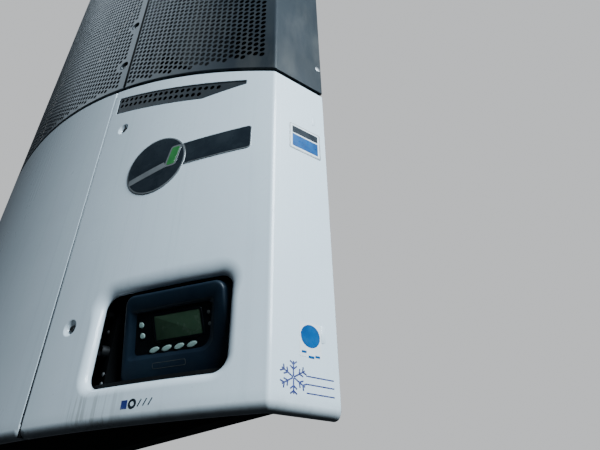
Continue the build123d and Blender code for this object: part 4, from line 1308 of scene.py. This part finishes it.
# cup: how far out and how deep each ring lies; washers and heads as (radius, height)
grilleScrew = {
    "x": 0.544, "z": 1.0515, "pitch": 0.204, "count": 6, "clear": 0.0300,
    "cup": 0.0150, "cupDepth": 0.0090, "cupSides": 24, "cupWall": 0.002, "cupBack": 0.0102,
    "cupSteps": ((0.003, 0.0), (0.0012, 0.0003), (0.0, 0.0014), (-0.0012, 0.0078), (-0.0024, 0.0090)),
    "washer": ((0.0082, -0.0005), (0.0082, 0.0008), (0.0077, 0.0013), (0.0062, 0.0013)),
    "head": ((0.0060, 0.0), (0.0060, 0.0034), (0.0052, 0.0046), (0.0034, 0.0049), (0.0028, 0.0024),
             (0.0, 0.0020)),
    "sideBack": 0.133, "sideZ": 0.874,
    "sideWasher": ((0.0085, -0.001), (0.0085, 0.0), (0.0081, 0.0002), (0.0, 0.0002)),
    "sideHead": ((0.0052, 0.0), (0.0052, 0.0005), (0.0048, 0.0006), (0.0, 0.0006)),
}
# black strips over the grille seams: rubber trim and painted shade of the dark gap
gasketShade = {"half": 0.0055, "base": 0.004, "front": -0.0002, "fromArch": 0.004, "fromTop": 0.002, "steps": 12}
grilleTop = unit["height"] - unit["capHeight"]
grilleSeam = pathAt(unit["grilleSeamX"])
screwS = pathAt(grilleScrew["x"])
screwHeights = [grilleScrew["z"] + grilleScrew["pitch"] * k for k in range(grilleScrew["count"])]
screwPlaces = [(side * screwS, z) for side in (-1, 1) for z in screwHeights]


def cellCorners(column, row):
    # the six corners of a cell as whole steps of the hexagon net
    x, z = 3 * column, 2 * row + column % 2
    return [(x + 2, z), (x + 1, z + 1), (x - 1, z + 1), (x - 2, z), (x - 1, z - 1), (x + 1, z - 1)]


def cellFaces(sides):
    # triangles between a hexagon's corners (0 to 5) and a round hole's points (6 and on), by turning once round
    outer = [k * 60.0 for k in range(7)]
    inner = [k * 360.0 / sides for k in range(sides + 1)]
    faces, i, j = [], 0, 0
    while i < 6 or j < sides:
        if j >= sides or (i < 6 and outer[i + 1] <= inner[j + 1]):
            faces.append((i, (i + 1) % 6, 6 + j % sides))
            i += 1
        else:
            faces.append((i % 6, 6 + (j + 1) % sides, 6 + j))
            j += 1
    return faces


def overArch(s):
    return archOver(s) + unit["archGap"]


def fieldLow(s):
    # the lowest place for a hole's centre, which is farther from the arch towards the fold
    share = max(0, (abs(s) - grille["lowS"]) / (grille["farS"] - grille["lowS"]))
    return archOver(s) + max(grille["leastLow"], grille["low"] + grille["rise"] * share ** 2)


def holeCells(firstS, columns, netPlace):
    # cells of the net that lie over the arch, under the top edge and clear of the screws
    pitch, top = grille["pitch"], grilleTop - grille["topEdge"]
    cells = []
    for column in range(columns):
        s = firstS + grille["columnGap"] * column
        low = fieldLow(s)
        for row in range(int((low - grille["rowZ"]) / pitch) - 1, int((top - grille["rowZ"]) / pitch) + 1):
            z = netPlace(0, 2 * row + column % 2)[1]
            clear = all(math.hypot(abs(s) - screwS, z - h) > grilleScrew["clear"] for h in screwHeights)
            corners = [netPlace(*key) for key in cellCorners(column, row)]
            if clear and low <= z <= top and all(b > overArch(a) + grille["lowWeb"] for a, b in corners):
                cells.append((column, row))
    return cells


def screwCups():
    # a round cup for each screw on the middle grille
    radius, sides, steps = grilleScrew["cup"], grilleScrew["cupSides"], grilleScrew["cupSteps"]
    wall, back = grilleScrew["cupWall"], grilleScrew["cupBack"]
    return [{"loop": ringLoop(place, radius, sides), "steps": steps,
             "boss": [(wall, grille["skin"]), (wall, back)]} for place in screwPlaces]


def addGrille(name, node, start, end, firstS, count, features):
    columns, sides = count
    edge, thin = ({"round": grille["round"], "flange": grille[k]} for k in ("flange", "sideFlange"))
    styles = [edge, thin if end > 1 else edge, edge, thin if start < -1 else edge]
    sheet, fronts, backs = sheetPanel(start, end, overArch, grilleTop, styles, features,
                                      grille["skin"], grille["rim"])
    pitch, gap, web = grille["pitch"], grille["columnGap"], grille["sideWeb"]

    def netPlace(u, v):
        return firstS + u * gap / 3, grille["rowZ"] + v * pitch / 2

    def inField(s, z):
        return firstS - pitch < s < firstS + gap * (columns - 1) + pitch and z > fieldLow(s) - pitch

    cells = holeCells(firstS, columns, netPlace)
    used = {}
    for cell in cells:
        corners = cellCorners(*cell)
        for a, b in zip(corners, corners[1:] + corners[:1]):
            key = (a, b) if a < b else (b, a)
            used[key] = used.get(key, 0) + 1
    bounds = [key for key, times in used.items() if times == 1]
    template, rim = cellFaces(sides), ringLoop((0.0, 0.0), grille["hole"], sides)
    layers = []
    for loops, depth, front in ((fronts, 0.0, True), (backs, grille["skin"], False)):
        net, holes = {}, []
        for column, row in cells:
            corners = cellCorners(column, row)
            for key in corners:
                if key not in net:
                    s, z = netPlace(*key)
                    net[key] = sheet.point(min(max(s, start + web), end - web), z, depth, smooth=front)
            s, z = netPlace(3 * column, 2 * row + column % 2)
            holes.append([sheet.point(s + p[0], z + p[1], depth, smooth=front) for p in rim])
            spots = [net[key] for key in corners] + holes[-1]
            for face in template:
                points = [spots[k] for k in face]
                sheet.face(points if front else points[::-1])
        layers.append(holes)
        sheet.fill(loops, depth, front, inField, [(net[a], net[b]) for a, b in bounds])
    for front, back in zip(*layers):
        sheet.band(back, front)
    return addPiece(name, sheet, "root", grilleGrey, "grille_grey", [node])


def addGasketShadeStrips():
    # black strips in the seams between the grilles, wider than the gap: rubber trim that also paints the shade
    # of the gap and of the rounded sheet edges beside it
    sheet = Sheet()
    half, base, front, steps = (gasketShade[k] for k in ("half", "base", "front", "steps"))
    low, high = overArch(grilleSeam) + gasketShade["fromArch"], grilleTop - gasketShade["fromTop"]
    for side in (-1, 1):
        sheet.bar([[sheet.point(side * grilleSeam + s, low + (high - low) * k / steps, depth)
                    for s, depth in ((-half, base), (half, base), (half, front), (-half, front))]
                   for k in range(steps + 1)])
    addPiece("grilleGasketShade", sheet, "root", blackMould, "seal_rubber")


def addGrilleScrews():
    form = Form()
    for s, z in screwPlaces:
        place = surfacePlace(s, z, grilleScrew["cupDepth"])
        form.lathe(place, grilleScrew["washer"])
        form.lathe(place, grilleScrew["head"], 18)
    place = surfacePlace(foldS + grilleScrew["sideBack"], grilleScrew["sideZ"])
    form.lathe(place, grilleScrew["sideWasher"])
    form.lathe(place, grilleScrew["sideHead"], 6)
    addPiece("grilleScrews", form, "root", zincSteel, "latch_steel")


gapHalf = unit["grilleGap"] / 2
sideWidth, centreWidth = ((grille[k][0] - 1) * grille["columnGap"] for k in ("side", "centre"))
grilles = [
    addGrille("rightGrille", "right_grille", grilleSeam + gapHalf, rearS, grille["firstS"], grille["side"], []),
    addGrille("leftGrille", "left_grille", -rearS, -grilleSeam - gapHalf, -grille["firstS"] - sideWidth,
              grille["side"], []),
    addGrille("centreGrille", "centre_grille", -grilleSeam + gapHalf, grilleSeam - gapHalf, -centreWidth / 2,
              grille["centre"], screwCups()),
]
addGasketShadeStrips()
addGrilleScrews()
# the sheen lamp lights the grilles and the slit vents only
sheenLit = bpy.data.collections.new("sheenLit")
for piece in grilles + vents:
    sheenLit.objects.link(piece)
bpy.data.objects["sheen"].light_linking.receiver_collection = sheenLit
say("perforated grilles")

# Dark lining of the machine space, painted shade that keeps the inside dark through the holes; strips behind
# the side grilles, and the lip under the air opening in the top

shadeLining = {"pad": 0.075, "parts": 4, "margin": 0.006, "thick": 0.0045, "seam": 0.0012}
closing = {"from": 0.958, "to": 1.0235, "front": -0.0330, "back": -0.0300, "top": 2.125, "round": 0.0004}
capLip = {"front": -0.2632, "back": -0.2390, "low": 1.0850, "high": 1.1065, "skin": 0.0025, "half": 0.5195,
          "round": 0.0004}


def addShadeLining():
    # quilted black mat on the front of the bulkhead: painted shade, so that the white bulkhead seen through the
    # grille holes reads dark
    low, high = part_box("bulkhead")
    margin, parts, seam = shadeLining["margin"], shadeLining["parts"], shadeLining["seam"]
    width, height = (high[axis] - low[axis] - 2 * margin for axis in (0, 2))
    columns, rows = (round(size / shadeLining["pad"]) * parts for size in (width, height))
    form = Form()
    for j in range(rows + 1):
        for k in range(columns + 1):
            swell = abs(math.sin(math.pi * k / parts) * math.sin(math.pi * j / parts)) ** 0.5
            inside = 0 < j < rows and 0 < k < columns
            rise = seam + (shadeLining["thick"] - seam) * swell if inside else 0.0
            form.points.append((low[0] + margin + width * k / columns, low[1] - rise,
                                low[2] + margin + height * j / rows))
    wide = columns + 1
    form.faces += [(j * wide + k, j * wide + k + 1, (j + 1) * wide + k + 1, (j + 1) * wide + k)
                   for j in range(rows) for k in range(columns)]
    rim = list(range(wide)) + [j * wide + columns for j in range(1, rows + 1)]
    rim += [rows * wide + k for k in range(columns - 1, -1, -1)]
    rim += [j * wide for j in range(rows - 1, 0, -1)]
    form.faces.append(tuple(rim[::-1]))
    addPiece("shadeLining", form, "root", deepBlack, "pan_black")


def addCapLip():
    form = Form()
    front, back, low, high, skin = (capLip[k] for k in ("front", "back", "low", "high", "skin"))
    for y, z, deep, tall in (((front + back) / 2, low + skin / 2, back - front, skin),
                             (front + skin / 2, (low + high) / 2, skin, high - low)):
        form.block(Matrix.Translation((0, y, z)), (2 * capLip["half"], deep, tall), capLip["round"])
    addPiece("capLip", form, "root", grilleGrey, "grille_grey")


def addClosingStrips():
    # between the mounting frame and the rear edge of each side grille
    form = Form()
    base = archHeight(closing["to"]) + unit["archGap"]
    low = Vector((closing["from"], closing["front"], base + lowEdge))
    high = Vector((closing["to"], closing["back"], closing["top"] + lowEdge))
    for side in (-1, 1):
        middle = (low + high) / 2
        middle.x *= side
        form.block(Matrix.Translation(middle), high - low, closing["round"])
    addPiece("closingStrips", form, "root", deepBlack, "pan_black")


addShadeLining()
addCapLip()
addClosingStrips()
say("lining and lip")

# Finishes of the parts that stay as they are

nodeFinish = {
    "white_cover": coverWhite, "grille_grey": grilleGrey, "black_plastic": blackMould,
    "latch_steel": latchSteel, "display_plastic": displayBlack, "screen_glass": screenGreen,
    "key_rubber": keyRubber,
    "seal_rubber": makeFinish("sealRubber", {
        "dark": (9, 9, 10), "light": (16, 16, 17), "cloud": 20.0, "rough": 0.8, "vary": 0.15, "mirror": 0.2,
        "dust": ((54, 52, 48), 0.2, 40.0), "grain": (1200.0, 0.0001)}),
    "frame_steel": makeFinish("frameSteel", {
        "dark": (8, 9, 10), "light": (15, 16, 18), "cloud": 6.0, "rough": 0.55, "vary": 0.2, "mirror": 0.15,
        "dust": ((40, 37, 34), 0.2, 18.0), "wear": ((58, 42, 32), 55.0), "grain": (420.0, 0.0001)}),
    "pan_black": makeFinish("panBlack", {
        "dark": (6, 7, 9), "light": (12, 13, 15), "cloud": 5.0, "rough": 0.75, "vary": 0.2, "mirror": 0.15,
        "dust": ((46, 43, 39), 0.25, 9.0), "grain": (260.0, 0.0002)}),
    "insulated_white": makeFinish("insulatedWhite", {
        "dark": (204, 207, 207), "light": (218, 220, 219), "cloud": 3.5, "rough": 0.42, "vary": 0.12,
        "dust": ((168, 166, 158), 0.25, 8.0), "grain": (240.0, 0.0002)}),
    "guard_white": makeFinish("guardWhite", {
        "dark": (196, 198, 197), "light": (212, 213, 212), "cloud": 12.0, "rough": 0.46, "vary": 0.12,
        "dust": ((140, 136, 126), 0.35, 16.0), "grain": (900.0, 0.00006)}),
    # coil fins darkened to near black: painted shade, so that the coil seen through the grille holes reads
    # dark; the near-black fin stripes are the painted shade of the gaps
    "coil_fins": makeFinish("coilFinsDarkAsShade", {
        "dark": (16, 17, 18), "light": (24, 25, 26), "cloud": 10.0, "rough": 0.7, "vary": 0.15, "mirror": 0.15,
        "dust": ((30, 28, 26), 0.4, 14.0), "fins": (0.0042, (7, 7, 8)), "grain": (400.0, 0.0004)}),
    "fan_black": makeFinish("fanBlack", {
        "dark": (15, 15, 16), "light": (25, 25, 27), "cloud": 12.0, "rough": 0.55, "vary": 0.2, "mirror": 0.35,
        "dust": ((86, 82, 75), 0.35, 22.0), "grain": (700.0, 0.00008)}),
    "blower_alloy": makeFinish("blowerAlloy", {
        "dark": (138, 140, 142), "light": (172, 174, 176), "cloud": 9.0, "rough": 0.34, "vary": 0.2,
        "metal": 0.9, "brush": (20.0, 600.0, 20.0), "grain": (500.0, 0.00004)}),
    "engine_grey": makeFinish("engineGrey", {
        "dark": (52, 53, 54), "light": (70, 71, 72), "cloud": 5.0, "rough": 0.58, "vary": 0.25, "metal": 0.2,
        "dust": ((48, 40, 32), 0.6, 7.0), "wear": ((112, 104, 92), 40.0), "grain": (160.0, 0.0008)}),
}
for node in frame["nodes"].values():
    for holder in node.material_slots:
        holder.material = nodeFinish[holder.material.name.split(".")[0]]
say("finishes of the plain nodes")
